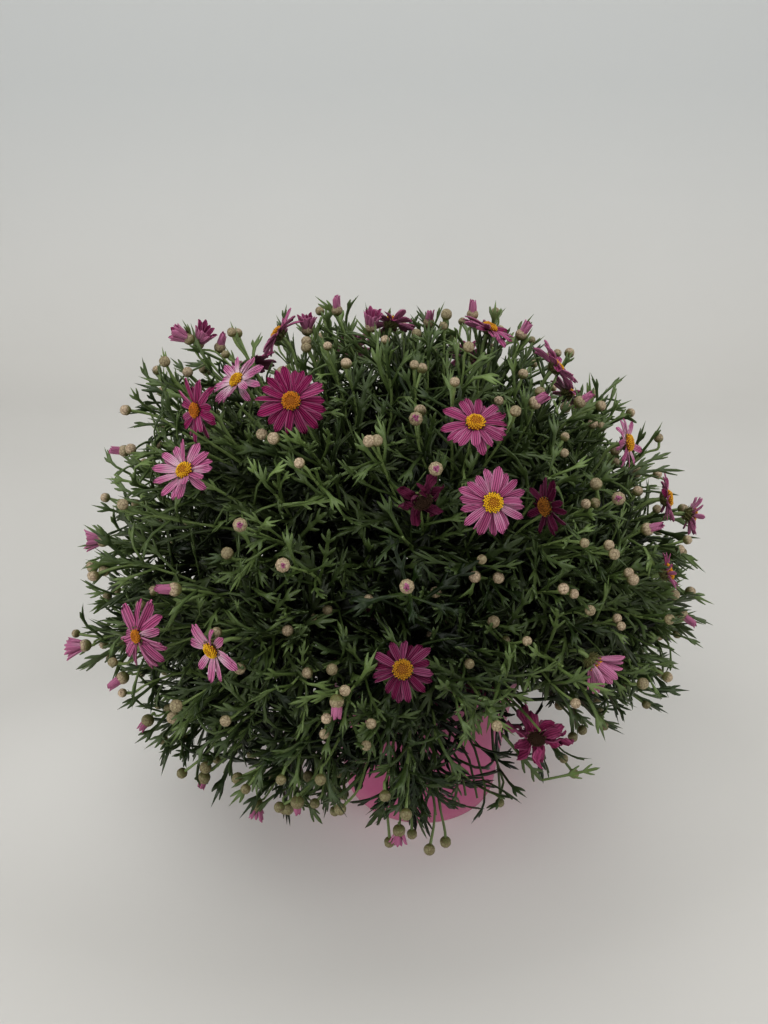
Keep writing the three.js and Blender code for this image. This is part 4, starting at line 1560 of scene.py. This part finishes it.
stubs = []
for along in main_aims:
    share = np.linspace(STUB_FROM, (WOOD_REACH - 0.5) / along[2], STUB_POINTS)
    knobbly = STUB_RADIUS * chance.uniform(*STUB_VARIES, STUB_POINTS)
    stubs.append((on_shoot(along, share), knobbly))
heights = np.linspace(ROOT_TIP, 0, len(TRUNK_SHAPE))
trunk = CROWN + np.outer(heights, [0, 0, 1])
stubs.append((trunk, TRUNK_RADIUS * TRUNK_SHAPE))
wood = draw_rods("woody_crown_rods", stubs, bark)
start_empty()
bpy.ops.mesh.primitive_ico_sphere_add(subdivisions=4, radius=KNUCKLE_RADIUS)
knuckle = bpy.context.object
for vert in knuckle.data.vertices:
    vert.co *= 1 + chance.uniform(-KNUCKLE_DENTS, KNUCKLE_DENTS)
settle(location=CROWN * MM, scale=(MM, MM, MM))
knuckle.data.materials.append(bark)
bpy.ops.object.shade_smooth()
wood.select_set(True)
bpy.ops.object.join()
knuckle.name = knuckle.data.name = "woody_crown_bark"
wood = knuckle
print("woody crown:", len(wood.data.polygons), "faces")

# %% [markdown]
# Put the daisies together
#
# A daisy's petals stand round the eye in two rows, the back row in the gaps of the front one. Their lift,
# bend, length and twist all vary a little, and a limp daisy's vary a lot and are creased. The eye's florets
# follow the golden angle, and the cup's scales overlap in three rings.

# %% Flower heads
# The petals' feet stand on this ring, in mm, and the back row stands this much further back and lower
PETAL_RING = 4.4
BACK_ROW = 0.5
FRONT_LIFT, BACK_LIFT = 5, -4
# How petals vary: shift round the eye, lift in degrees, roll, least length, arch and its spread, width
FRESH = dict(stray=0.25, spread=8, roll=0.34, shortest=0.88, arch=-0.3, bends=0.28, wider=1)
LIMP = dict(stray=0.8, spread=45, roll=0.8, shortest=0.75, arch=-0.6, bends=1.3, wider=1.3)
FRESH_FOLD, LIMP_FOLD = 0.1, 1.0
CREASES = 9
CREASE_DEPTH = 2.2
# How much the paleness varies from petal to petal, and how much more painted shade some petals take
PALE_SPREAD, PAINTED_SHADE_SPREAD = 0.13, 0.1
WILTED = 0.55
EYE_FLORETS = 88
OPEN_SHARE = 0.45
FLORET_SIZES = (0.85, 1.15)
# The eye stands this far before the petals' ring, and the cup this far behind it, in mm
HEAD_HALF = 0.6
# Rings of the cup's scales: degrees below level, and how many there are
CUP_RINGS = ((72, 8), (48, 10), (22, 12))
SCALE_SIZE = 0.8
# Florets stand a little inside the dome's edge and sunk by this much, scales stand off the cup by this much
FLORETS_WITHIN, FLORET_SUNK, SCALE_OFF = 0.97, 0.3, 0.15
CUP_GREEN = 1.0


def head_frame(facing):
    """The two directions in a head's plane."""
    return ring_frame(facing[None])[0][0], ring_frame(facing[None])[1][0]


def add_petals(pile, flower, middle_point, facing, right, over):
    count = flower["petals"]
    step = np.arange(count)
    limp = flower["limp"]
    habit = LIMP if limp else FRESH
    turn = 2 * math.pi * (step + chance.uniform(-habit["stray"], habit["stray"], count)) / count
    outward = around(right, over, turn)
    ring = PETAL_RING * flower["eye"]
    lift = flower["lift"] + np.where(step % 2, FRONT_LIFT, BACK_LIFT)
    lift = np.radians(lift + chance.normal(0, habit["spread"], count))[:, None]
    ahead, up = lifted_by(outward, facing, lift)
    up = rolled(ahead, up, chance.normal(0, habit["roll"], count)[:, None])
    length = (flower["across"] / 2 - ring) * chance.uniform(habit["shortest"], 1.05, count)
    arch = chance.normal(habit["arch"], habit["bends"], count)
    seat = middle_point + outward * ring - facing * np.where(step % 2, 0, BACK_ROW)[:, None]
    slim = chance.uniform(0.88, 1.08, count) * habit["wider"]
    fold = chance.uniform(-LIMP_FOLD, LIMP_FOLD, count) if limp else np.full(count, FRESH_FOLD)
    points = bent(PETAL, length / PETAL_LENGTH, seat, ahead, up, arch, fold, slim)
    if limp:
        waves = PETAL.numbers["along"] * CREASES + PETAL.numbers["across"] * 2
        waves = waves + chance.uniform(0, 6, (count, 1))
        points = points + np.sin(waves)[..., None] * up[:, None] * CREASE_DEPTH
    pale = np.clip(flower["pale"] + chance.normal(0, PALE_SPREAD, count), 0, 1)
    # Painted shade: a daisy that stands in the bush's shade has its petals darkened, some more than others
    deep = np.clip(flower["deep"] + np.abs(chance.normal(0, PAINTED_SHADE_SPREAD, count)), 0, 1)
    pile.add(PETAL, points, pale=pale, spent=[WILTED * limp] * count, deep=deep)


def add_eye(pile, flower, middle_point, facing, right, over):
    step = np.arange(EYE_FLORETS)
    share = np.sqrt((step + 0.5) / EYE_FLORETS)
    radius, rise = EYE_RADIUS * flower["eye"], EYE_HEIGHT * flower["eye"]
    outward = around(right, over, step * GOLDEN_ANGLE)
    height = np.sqrt(np.maximum(0, 1 - share**2))
    base = middle_point + facing * HEAD_HALF
    seat = base + outward * (share * radius * FLORETS_WITHIN)[:, None] + facing * (height * rise)[:, None]
    up = unit(outward * (share / radius)[:, None] + facing * (height / rise + 0.02)[:, None])
    # No floret points exactly this way, so the cross product never vanishes
    ahead = unit(np.cross(up, right + 0.01))
    # A wilted eye is browned fully, and a shaded daisy's eye by half its deep number, as painted shade
    spent = 1.0 if flower["limp"] else flower["deep"] / 2
    dome = placed(EYE_DOME, flower["eye"], base[None], right[None], facing[None])
    pile.add(EYE_DOME, dome, gold=[flower["gold"]], spent=[spent])
    outer = share > 1 - OPEN_SHARE
    for chosen, floret in ((outer, OPEN_FLORET), (~outer, SHUT_FLORET)):
        size = chance.uniform(*FLORET_SIZES, chosen.sum()) * flower["eye"]
        points = placed(floret, size, seat[chosen] - up[chosen] * FLORET_SUNK, ahead[chosen], up[chosen])
        gold = np.clip(flower["gold"] + 0.2 * (1 - share[chosen]), 0, 1)
        pile.add(floret, points, gold=gold, spent=[spent] * len(gold))


def add_cup(pile, middle_point, facing, right, over):
    base = middle_point - facing * HEAD_HALF
    cup = placed(CUP, 1, base[None], right[None], facing[None])
    pile.add(CUP, cup, green=[CUP_GREEN])
    for low, count in CUP_RINGS:
        turn = 2 * math.pi * (np.arange(count) + low / 100) / count
        outward = around(right, over, turn)
        slope = math.radians(low)
        seat = base + (outward * CUP_RADIUS * math.cos(slope) - facing * CUP_DEPTH * math.sin(slope))
        up = unit(outward * math.cos(slope) / CUP_RADIUS - facing * math.sin(slope) / CUP_DEPTH)
        ahead = unit(np.cross(np.cross(up, facing), up))
        ahead = ahead * np.sign((ahead * facing).sum(1))[:, None]
        points = placed(CUP_SCALE, SCALE_SIZE, seat + up * SCALE_OFF, ahead, up)
        pile.add(CUP_SCALE, points, green=np.full(count, CUP_GREEN))


def assemble(flower, middle_point, facing, parts=None):
    """Adds one daisy to three piles: petals, eyes and cups."""
    right, over = head_frame(facing)
    parts = parts or (Pile(), Pile(), Pile())
    add_petals(parts[0], flower, middle_point, facing, right, over)
    add_eye(parts[1], flower, middle_point, facing, right, over)
    add_cup(parts[2], middle_point, facing, right, over)
    return parts


daisies = [assemble(flower, head, facing) for flower, head, facing in zip(FLOWERS, heads, faces)]
more_piles = Pile(), Pile(), Pile()
for flower, head, facing in zip(MORE_FLOWERS, heads[len(FLOWERS) :], faces[len(FLOWERS) :]):
    assemble(flower, head, facing, more_piles)
print(len(daisies) + len(MORE_FLOWERS), "daisies put together")

# %% [markdown]
# Put the buds together
#
# A closed bud is one copy of the template, turned along its stalk. An opening bud is a larger one with a
# brush of rolled petals in its mouth: petal copies folded nearly shut, in an outer and an inner ring. The
# youngest only show a pink tip, the oldest begin to flare. Low buds are greener and their petals darker.

# %% Buds
OPENING_PETALS = 11
# By a bud's length in mm: shorter ones only show a tip, longer ones flare
TIP_ONLY, FLARED = 9, 14.5
# Degrees from flat for upright and for flaring petals, with their spread
UPRIGHT, FLARING, LIFT_SPREAD = 83, 64, 4
# How far the petals arch inwards, and the radii in mm of their outer and inner ring
TIP_ARCH, FLARING_ARCH, BRUSH_ARCH, ARCH_SPREAD = 0.9, 0.2, 0.4, 0.15
TIP_RINGS, BRUSH_RINGS = (2.8, 0.7), (2.9, 1.6)
ROLLED_FOLD, ROLLED_WIDTH = 0.6, 0.9
LOW_BRUSH = 0.75
LOW_PALES, PALES = (0, 0.3), (0.15, 0.75)
OPENING_SIZE, BUD_SIZES = 1.15, (0.78, 1.06)
LOW_GREEN, GREENS = 0.8, (0.15, 0.7)


def add_opening_petals(pile, bud):
    """The rolled petals that stand out of an opening bud like a brush."""
    right, over = head_frame(bud.points_to)
    count = OPENING_PETALS
    step = np.arange(count)
    turn = 2 * math.pi * (step + chance.uniform(-0.2, 0.2, count)) / count
    outward = around(right, over, turn)
    flared = bud.stage > FLARED
    lift = np.radians(chance.normal(FLARING if flared else UPRIGHT, LIFT_SPREAD, count))[:, None]
    ahead, up = lifted_by(outward, bud.points_to, lift)
    tip_only = bud.stage < TIP_ONLY
    outer, inner = TIP_RINGS if tip_only else BRUSH_RINGS
    seat = bud.middle + outward * np.where(step % 3, outer, inner)[:, None] + bud.points_to * 0.5
    low = bud.middle[2] < LOW_BUDS_BELOW
    size = bud.stage * (LOW_BRUSH if low else 1) * chance.uniform(0.75, 1.0, count) / PETAL_LENGTH
    arch = TIP_ARCH if tip_only else FLARING_ARCH if flared else BRUSH_ARCH
    arch = chance.normal(arch, ARCH_SPREAD, count)
    points = bent(PETAL, size, seat, ahead, up, arch, ROLLED_FOLD, ROLLED_WIDTH)
    pale = chance.uniform(*(LOW_PALES if low else PALES), count)
    pile.add(PETAL, points, pale=pale, spent=np.zeros(count), deep=np.zeros(count))


bud_piles = [Pile() for _ in MAIN]
brush_piles = [Pile() for _ in MAIN]
for bud in buds:
    right, over = head_frame(bud.points_to)
    opening = bud.stage > 0
    size = OPENING_SIZE if opening else chance.uniform(*BUD_SIZES)
    low = bud.middle[2] < LOW_BUDS_BELOW
    green = LOW_GREEN if low else chance.uniform(*GREENS)
    points = placed(BUD, size, bud.middle[None], right[None], bud.points_to[None])
    bud_piles[bud.host].add(BUD, points, green=[green])
    # This draw is spent on nothing: it keeps the buds after it as they are
    chance.random()
    if opening:
        add_opening_petals(brush_piles[bud.host], bud)
print(sum(pile.size > 0 for pile in bud_piles), "shoots have buds")

# %% [markdown]
# Velvety petals
#
# A petal's colour lies in its skin: deep magenta or, on a paler daisy, pink with a white base and a light
# margin, and lines along it where the cells stand in rows. The skin is velvety, because each of its cells
# is a tiny cone that throws light about, so the gleam is broad and weak: half rough, with a low specular
# level. The lines and cells are far finer than the render shows, so both are drawn coarser than they are.

# %% Petal finish
MAGENTA = "#842053"
MAGENTA_PINK = "#c2769d"
PETAL_MARGIN = "#e4b0cb"
PETAL_WHITE = "#f4e4ea"
PETAL_UNDER = "#c987a6"
SPENT = "#93365f"
# Lines across a petal's width, and how much they darken and lighten it
PETAL_LINES = 4.5
LINE_DARKEST, LINE_LIGHTEST = 0.45, 1.52
LINE_HEIGHT = 0.6 * MM
# The light margin: where it starts across, its share at the edge, and what is left of it on a deep petal
MARGIN_FROM, MARGIN_SHARE, DEEP_MARGIN = 0.5, 0.44, 0.35
# The white base: where it fades out along the petal, and the paleness from which a daisy has one
BASE_UNTIL, BASE_FADES, BASE_IF_PALER = 0.15, 0.68, 0.55
UNDER_SHARE = 0.55
# The share of its colour that a petal keeps under the fullest painted shade
DARKEST_PAINTED_SHADE = 0.38
CELL = 0.5 * MM
CELL_HEIGHT = 0.2 * MM
PETAL_ROUGHNESS = 0.55
PETAL_SPECULAR = 0.15

velvet, add, shader, place = new_material("petal_velvet")
numbers = {
    name: add("Attribute", attribute_name=name).outputs["Fac"]
    for name in ("pale", "along", "across", "under", "spent", "deep")
}
body = add("Mix", {SHARE: numbers["pale"], FIRST: MAGENTA, SECOND: MAGENTA_PINK}, data_type="RGBA")
phase = add("Math", {0: numbers["across"], 1: PETAL_LINES * math.pi}, operation="MULTIPLY")
lines = add("Math", {0: phase.outputs[0]}, operation="SINE")
line = add("MapRange", {
    "Value": lines.outputs[0], "From Min": -1.0, "To Min": LINE_DARKEST, "To Max": LINE_LIGHTEST,
})
streaked = add("VectorMath", {0: body.outputs[MIXED], "Scale": line.outputs[0]}, operation="SCALE")
beside = add("Math", {0: numbers["across"]}, operation="ABSOLUTE")
margin = add("MapRange", {
    "Value": beside.outputs[0], "From Min": MARGIN_FROM, "From Max": 1.0, "To Max": MARGIN_SHARE,
})
youth = add("MapRange", {"Value": numbers["pale"], "To Min": DEEP_MARGIN, "To Max": 1.0})
margin = add("Math", {0: margin.outputs[0], 1: youth.outputs[0]}, operation="MULTIPLY")
lined = add("Mix", {
    SHARE: margin.outputs[0], FIRST: streaked.outputs[0], SECOND: PETAL_MARGIN,
}, data_type="RGBA")
base = add("MapRange", {
    "Value": numbers["along"], "From Min": BASE_UNTIL, "From Max": BASE_FADES, "To Min": 1.0, "To Max": 0.0,
})
whiteness = add("MapRange", {"Value": numbers["pale"], "From Min": BASE_IF_PALER})
base_share = add("Math", {0: base.outputs[0], 1: whiteness.outputs[0]}, operation="MULTIPLY")
based = add("Mix", {
    SHARE: base_share.outputs[0], FIRST: lined.outputs[MIXED], SECOND: PETAL_WHITE,
}, data_type="RGBA")
back_share = add("Math", {0: numbers["under"], 1: UNDER_SHARE}, operation="MULTIPLY")
backed = add("Mix", {
    SHARE: back_share.outputs[0], FIRST: based.outputs[MIXED], SECOND: PETAL_UNDER,
}, data_type="RGBA")
aged = add("Mix", {SHARE: numbers["spent"], FIRST: backed.outputs[MIXED], SECOND: SPENT}, data_type="RGBA")
# Painted shade: the petals of daisies in the bush's shade are darkened by their deep number
depth = add("MapRange", {"Value": numbers["deep"], "To Min": 1.0, "To Max": DARKEST_PAINTED_SHADE})
colour = add("VectorMath", {0: aged.outputs[MIXED], "Scale": depth.outputs[0]}, operation="SCALE")
relief = add("Bump", {"Height": line.outputs[0], "Strength": 0.6, "Distance": LINE_HEIGHT})
cells = add("TexNoise", {"Vector": place, "Scale": 1 / CELL, "Detail": 2.0})
bumps = add("Bump", {
    "Height": cells.outputs["Fac"], "Strength": 0.2, "Distance": CELL_HEIGHT, "Normal": relief.outputs[0],
})
set_inputs(shader, {
    "Base Color": colour.outputs[0], "Normal": bumps.outputs[0],
    "Roughness": PETAL_ROUGHNESS, "Specular IOR Level": PETAL_SPECULAR,
})
print("petal finish:", len(shader.id_data.nodes), "nodes")

# %% [markdown]
# Pollen on the florets
#
# The eye is dusted with dry yellow pollen, which turns golden with age and is fully matt. Each floret is
# lighter at its top and painted darker down between its neighbours, as painted shade. A wilted eye goes
# brown, and a daisy's eye in the bush's shade is browned too, as painted shade. Pollen grains are far finer
# than the render shows, so the noise of the bump is drawn coarser.

# %% Eye finish
POLLEN_YELLOW = "#f2c825"
POLLEN_GOLD = "#c8791f"
EYE_PAINTED_SHADE = "#945c0e"
EYE_WILTED_AND_SHADED = "#3c2410"
POLLEN_CLUMP = 0.4 * MM
CLUMP_HEIGHT = 0.2 * MM
POLLEN_ROUGHNESS = 0.8

pollen, add, shader, place = new_material("pollen_dusted_florets")
gold = add("Attribute", attribute_name="gold")
top = add("Attribute", attribute_name="top")
yellow = add("Mix", {
    SHARE: gold.outputs["Fac"], FIRST: POLLEN_YELLOW, SECOND: POLLEN_GOLD,
}, data_type="RGBA")
# Painted shade: each floret darkens from its top down to its foot, and the dome between them is dark
colour = add("Mix", {
    SHARE: top.outputs["Fac"], FIRST: EYE_PAINTED_SHADE, SECOND: yellow.outputs[MIXED],
}, data_type="RGBA")
dust = add("TexNoise", {"Vector": place, "Scale": 1 / POLLEN_CLUMP})
bumps = add("Bump", {"Height": dust.outputs["Fac"], "Strength": 0.4, "Distance": CLUMP_HEIGHT})
spent = add("Attribute", attribute_name="spent")
# A wilted eye is browned, and a shaded daisy's eye too, as painted shade
browned = add("Mix", {
    SHARE: spent.outputs["Fac"], FIRST: colour.outputs[MIXED], SECOND: EYE_WILTED_AND_SHADED,
}, data_type="RGBA")
set_inputs(shader, {
    "Base Color": browned.outputs[MIXED], "Roughness": POLLEN_ROUGHNESS, "Normal": bumps.outputs[0],
})
print("eye finish:", len(shader.id_data.nodes), "nodes")

# %% [markdown]
# Papery bud scales
#
# A bud's scales are green below and dry, papery and straw-coloured above, each with a thin brown edge. The
# straw is matt like paper. A pattern of cells, each as wide as a scale, gives the brown edges, and a finer
# noise breaks them up. The cups under the daisies take the same finish with the green turned full on.

# %% Bud finish
BUD_STRAW = "#d8c1a7"
BUD_GREEN = "#6b7040"
BUD_BROWN = "#523a24"
# Shares of the bud's height between which green turns to straw
GREEN_UNTIL, STRAW_FROM = 0.3, 0.72
BUD_SCALE = 2.4 * MM
BROWN_FLECK = 1.2 * MM
FLECK_HEIGHT = 0.4 * MM
# Brown is the flecks' share plus the edge's share less what keeps the scales' backs clear of it
FLECK_SHARE, EDGE_SHARE, BACK_SHARE, CLEAR_SHARE = 1.3, 0.65, 0.22, 0.65
EDGE_WIDTH = 0.14
PAPER_ROUGHNESS = 0.6

papery, add, shader, place = new_material("papery_bud_scales")
numbers = {
    name: add("Attribute", attribute_name=name).outputs["Fac"]
    for name in ("top", "green")
}
low_share = add("MapRange", {
    "Value": numbers["top"], "From Min": GREEN_UNTIL, "From Max": STRAW_FROM, "To Min": 1.0, "To Max": 0.0,
})
greenness = add("Math", {0: low_share.outputs[0], 1: numbers["green"]}, operation="MAXIMUM")
body = add("Mix", {SHARE: greenness.outputs[0], FIRST: BUD_STRAW, SECOND: BUD_GREEN}, data_type="RGBA")
spots = add("TexNoise", {"Vector": place, "Scale": 1 / BROWN_FLECK, "Detail": 3.0})
cells = add("TexVoronoi", {"Vector": place, "Scale": 1 / BUD_SCALE}, feature="DISTANCE_TO_EDGE")
furrow = add("MapRange", {
    "Value": cells.outputs["Distance"], "From Max": EDGE_WIDTH, "To Min": EDGE_SHARE, "To Max": BACK_SHARE,
})
edge = add("Math", {
    0: spots.outputs["Fac"], 1: FLECK_SHARE, 2: furrow.outputs[0],
}, operation="MULTIPLY_ADD")
edge = add("Math", {0: edge.outputs[0], 1: CLEAR_SHARE}, operation="SUBTRACT", use_clamp=True)
colour = add("Mix", {
    SHARE: edge.outputs[0], FIRST: body.outputs[MIXED], SECOND: BUD_BROWN,
}, data_type="RGBA")
bumps = add("Bump", {"Height": spots.outputs["Fac"], "Strength": 0.4, "Distance": FLECK_HEIGHT})
set_inputs(shader, {
    "Base Color": colour.outputs[MIXED], "Roughness": PAPER_ROUGHNESS, "Normal": bumps.outputs[0],
})
print("bud finish:", len(shader.id_data.nodes), "nodes")

# %% [markdown]
# From piles to pieces
#
# Each daisy of the frame becomes three pieces, its petals, its eye and its cup, because they differ in
# finish. The daisies that only stand here share three pieces, and the buds of one main shoot are one piece.

# %% Make the flowers and buds
petals, eyes, cups = [], [], []
more = [
    pile.make(f"more_{name}", finish)
    for pile, name, finish in zip(more_piles, ("petals", "eyes", "cups"), (velvet, pollen, papery))
]
for flower, parts in zip(FLOWERS, daisies):
    petals.append(parts[0].make(f"{flower['name']}_petals", velvet))
    eyes.append(parts[1].make(f"{flower['name']}_eye", pollen))
    cups.append(parts[2].make(f"{flower['name']}_cup", papery))
closed = [pile.make(f"{name}_buds", papery) for name, pile in zip(MAIN, bud_piles) if pile.size]
brushes = [pile.make(f"{name}_opening_petals", velvet) for name, pile in zip(MAIN, brush_piles) if pile.size]
print(len(petals + eyes + cups + more), "pieces of daisies and", len(closed + brushes), "of buds")

# %% [markdown]
# Tell the frame what each piece is
#
# Nothing on the plant moves, so every piece rides on the one body. Each says which finish it takes from the
# record, and the leafy shoots, stems and daisies stand for the frame's plain ones.

# %% Ride and replace
def hand_over(piece, slot, *nodes):
    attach(piece, "root")
    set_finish(piece, slot)
    if nodes:
        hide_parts(*nodes)


hand_over(pot, "pot_plastic", "pot")
hand_over(soil, "potting_soil", "potting_soil")
hand_over(wood, "woody_stem", "woody_crown")
for name, leaves, stem in zip(MAIN, foliage, stems):
    hand_over(leaves, "foliage", name)
    hand_over(stem, "foliage", name)
for flower, rays, eye, cup in zip(FLOWERS, petals, eyes, cups):
    hand_over(rays, "petal", flower["name"])
    hand_over(eye, "flower_disc", flower["name"])
    hand_over(cup, "bud", flower["name"])
for piece, slot in zip(more, ("petal", "flower_disc", "bud")):
    hand_over(piece, slot)
for piece in closed:
    hand_over(piece, "bud")
for piece in brushes:
    hand_over(piece, "petal")
pieces = [piece for piece in bpy.data.objects if piece.type == "MESH" and "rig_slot" in piece]
totals = {piece.name: sum(len(face.vertices) - 2 for face in piece.data.polygons) for piece in pieces}
print(len(pieces), "pieces,", sum(totals.values()), "triangles, at most", max(totals.values()), "in one")

# %% [markdown]
# Studio paper
#
# The plant stands on matt studio paper: uncoated, so it has no gleam, and pale grey with faint clouds.
# Round the pot, in a soft oval, the paper is painted lighter than further out: painted light that thins the
# shadow under the bush. It is a shade cooler on the wall.

# %% Paper finish
FLOOR_GREY = "#d2d0cb"
FLOOR_DULL = "#cbc9c4"
FLOOR_PAINTED_LIGHT = "#f0eee9"
WALL_GREY = "#cacccb"
CLOUDS_PER_METRE = 3.0
# The oval of painted light round the pot: its middle in metres, how much narrower it is from front to back,
# and where it fades
PAINTED_LIGHT_PLACE = (-0.08, 0, 0)
PAINTED_LIGHT_SHAPE = (1, 1.8, 1)
PAINTED_LIGHT_FULL_TO, PAINTED_LIGHT_GONE_FROM = 0.13, 0.41
WALL_BEND = 0.5
SWEEP_ROUGHNESS = 0.8

paper, add, shader, place = new_material("matt_studio_paper")
clouds = add("TexNoise", {"Vector": place, "Scale": CLOUDS_PER_METRE, "Detail": 3.0})
colour = add("Mix", {SHARE: clouds.outputs["Fac"], FIRST: FLOOR_DULL, SECOND: FLOOR_GREY}, data_type="RGBA")
shaped = add("VectorMath", {0: place, 1: PAINTED_LIGHT_SHAPE}, operation="MULTIPLY")
away = add("VectorMath", {0: shaped.outputs[0], 1: PAINTED_LIGHT_PLACE}, operation="DISTANCE")
# Painted light: the paper is mixed towards a lighter grey in the oval round the pot, against the bush's
# shadow
painted_light = add("MapRange", {
    "Value": away.outputs["Value"], "From Min": PAINTED_LIGHT_FULL_TO, "From Max": PAINTED_LIGHT_GONE_FROM, "To Min": 1.0, "To Max": 0.0,
}, interpolation_type="SMOOTHSTEP")
colour = add("Mix", {
    SHARE: painted_light.outputs[0], FIRST: colour.outputs[MIXED], SECOND: FLOOR_PAINTED_LIGHT,
}, data_type="RGBA")
height = add("SeparateXYZ", {0: place})
rises = add("MapRange", {"Value": height.outputs["Z"], "From Max": WALL_BEND})
colour = add("Mix", {
    SHARE: rises.outputs[0], FIRST: colour.outputs[MIXED], SECOND: WALL_GREY,
}, data_type="RGBA")
set_inputs(shader, {"Base Color": colour.outputs[MIXED], "Roughness": SWEEP_ROUGHNESS})
print("paper finish:", len(shader.id_data.nodes), "nodes")

# %% [markdown]
# The sweep
#
# The paper is a floor that curves up into a wall behind the plant, so that no edge shows in the picture. A
# plane is the start, and its far edge is pulled out in small turns, each a little steeper.

# %% Floor and wall
FLOOR_HALF = 3.5
WALL_AT = 0.95
WALL_HEIGHT = 4
BEND_STEPS = 8

start_empty()
bpy.ops.mesh.primitive_plane_add(size=2 * FLOOR_HALF)
floor = bpy.context.object
settle(location=(0, WALL_AT - FLOOR_HALF, 0))
editing(True)
pick("EDGE", lambda edge: middle(edge).y > WALL_AT - 0.01)
stride = WALL_BEND * math.pi / 2 / BEND_STEPS
for step in range(BEND_STEPS):
    turn = (step + 0.5) * math.pi / 2 / BEND_STEPS
    grow((0, math.cos(turn) * stride, math.sin(turn) * stride))
grow((0, 0, WALL_HEIGHT))
editing(False)
bpy.ops.object.shade_smooth()
floor.name = "studio_sweep"
floor.data.materials.append(paper)
print("sweep:", len(floor.data.polygons), "faces")

# %% [markdown]
# Camera and lamps
#
# The camera looks from where the photograph was taken. Its lens is the focal length in pixels, turned into
# mm on a sensor as high as the picture. The light is soft: one broad lamp above gives the shadow under the
# bush, one at each side brightens the flanks, a weak one in front keeps the shaded side readable, and a dim
# sky fills the rest. The look adds a little contrast, as a camera's own picture has.

# %% Camera and light
SENSOR_HEIGHT = 36
PICTURE_HEIGHT = 1024
CAMERA_SHIFT_Y = -0.038
# Each lamp's place, the point that it looks at, its size in metres and its power in watts
LAMPS = {
    "top_lamp": ((0.1, -0.25, 2.2), (0, 0, 0.2), 3.0, 38),
    "left_lamp": ((-2.0, -0.9, 0.8), (0, 0, 0.1), 1.6, 17),
    "right_lamp": ((2.1, -0.7, 0.8), (0, 0, 0.1), 1.6, 15),
    "front_lamp": ((-0.6, -2.5, 0.9), (0, 0, 0.05), 1.4, 10),
}
SKY_GREY = "#e8e9ea"
SKY_STRENGTH = 0.14

camera = bpy.data.objects.new("camera", bpy.data.cameras.new("camera"))
bpy.context.collection.objects.link(camera)
camera.location = VIEWED_FROM * MM
camera.rotation_euler = (math.pi / 2 - CAMERA_PITCH, 0, 0)
camera.data.lens = SENSOR_HEIGHT * FOCAL_PIXELS / PICTURE_HEIGHT
camera.data.shift_y = CAMERA_SHIFT_Y
bpy.context.scene.camera = camera


def add_lamp(name, place, aims_at, size, power):
    """A square soft lamp that looks at a point."""
    lamp = bpy.data.objects.new(name, bpy.data.lights.new(name, "AREA"))
    bpy.context.collection.objects.link(lamp)
    lamp.location = place
    lamp.rotation_euler = (Vector(aims_at) - Vector(place)).to_track_quat("-Z", "Y").to_euler()
    lamp.data.size = size
    lamp.data.energy = power


for name, (place, aims_at, size, power) in LAMPS.items():
    add_lamp(name, place, aims_at, size, power)
world = bpy.data.worlds.new("studio_air")
bpy.context.scene.world = world
world.use_nodes = True
sky = world.node_tree.nodes["Background"]
set_inputs(sky, {"Color": SKY_GREY, "Strength": SKY_STRENGTH})
bpy.context.scene.view_settings.view_transform = "Standard"
bpy.context.scene.view_settings.look = "Medium High Contrast"
print("camera at", VIEWED_FROM, "mm, lens", round(camera.data.lens, 2), "mm,", len(LAMPS), "lamps")
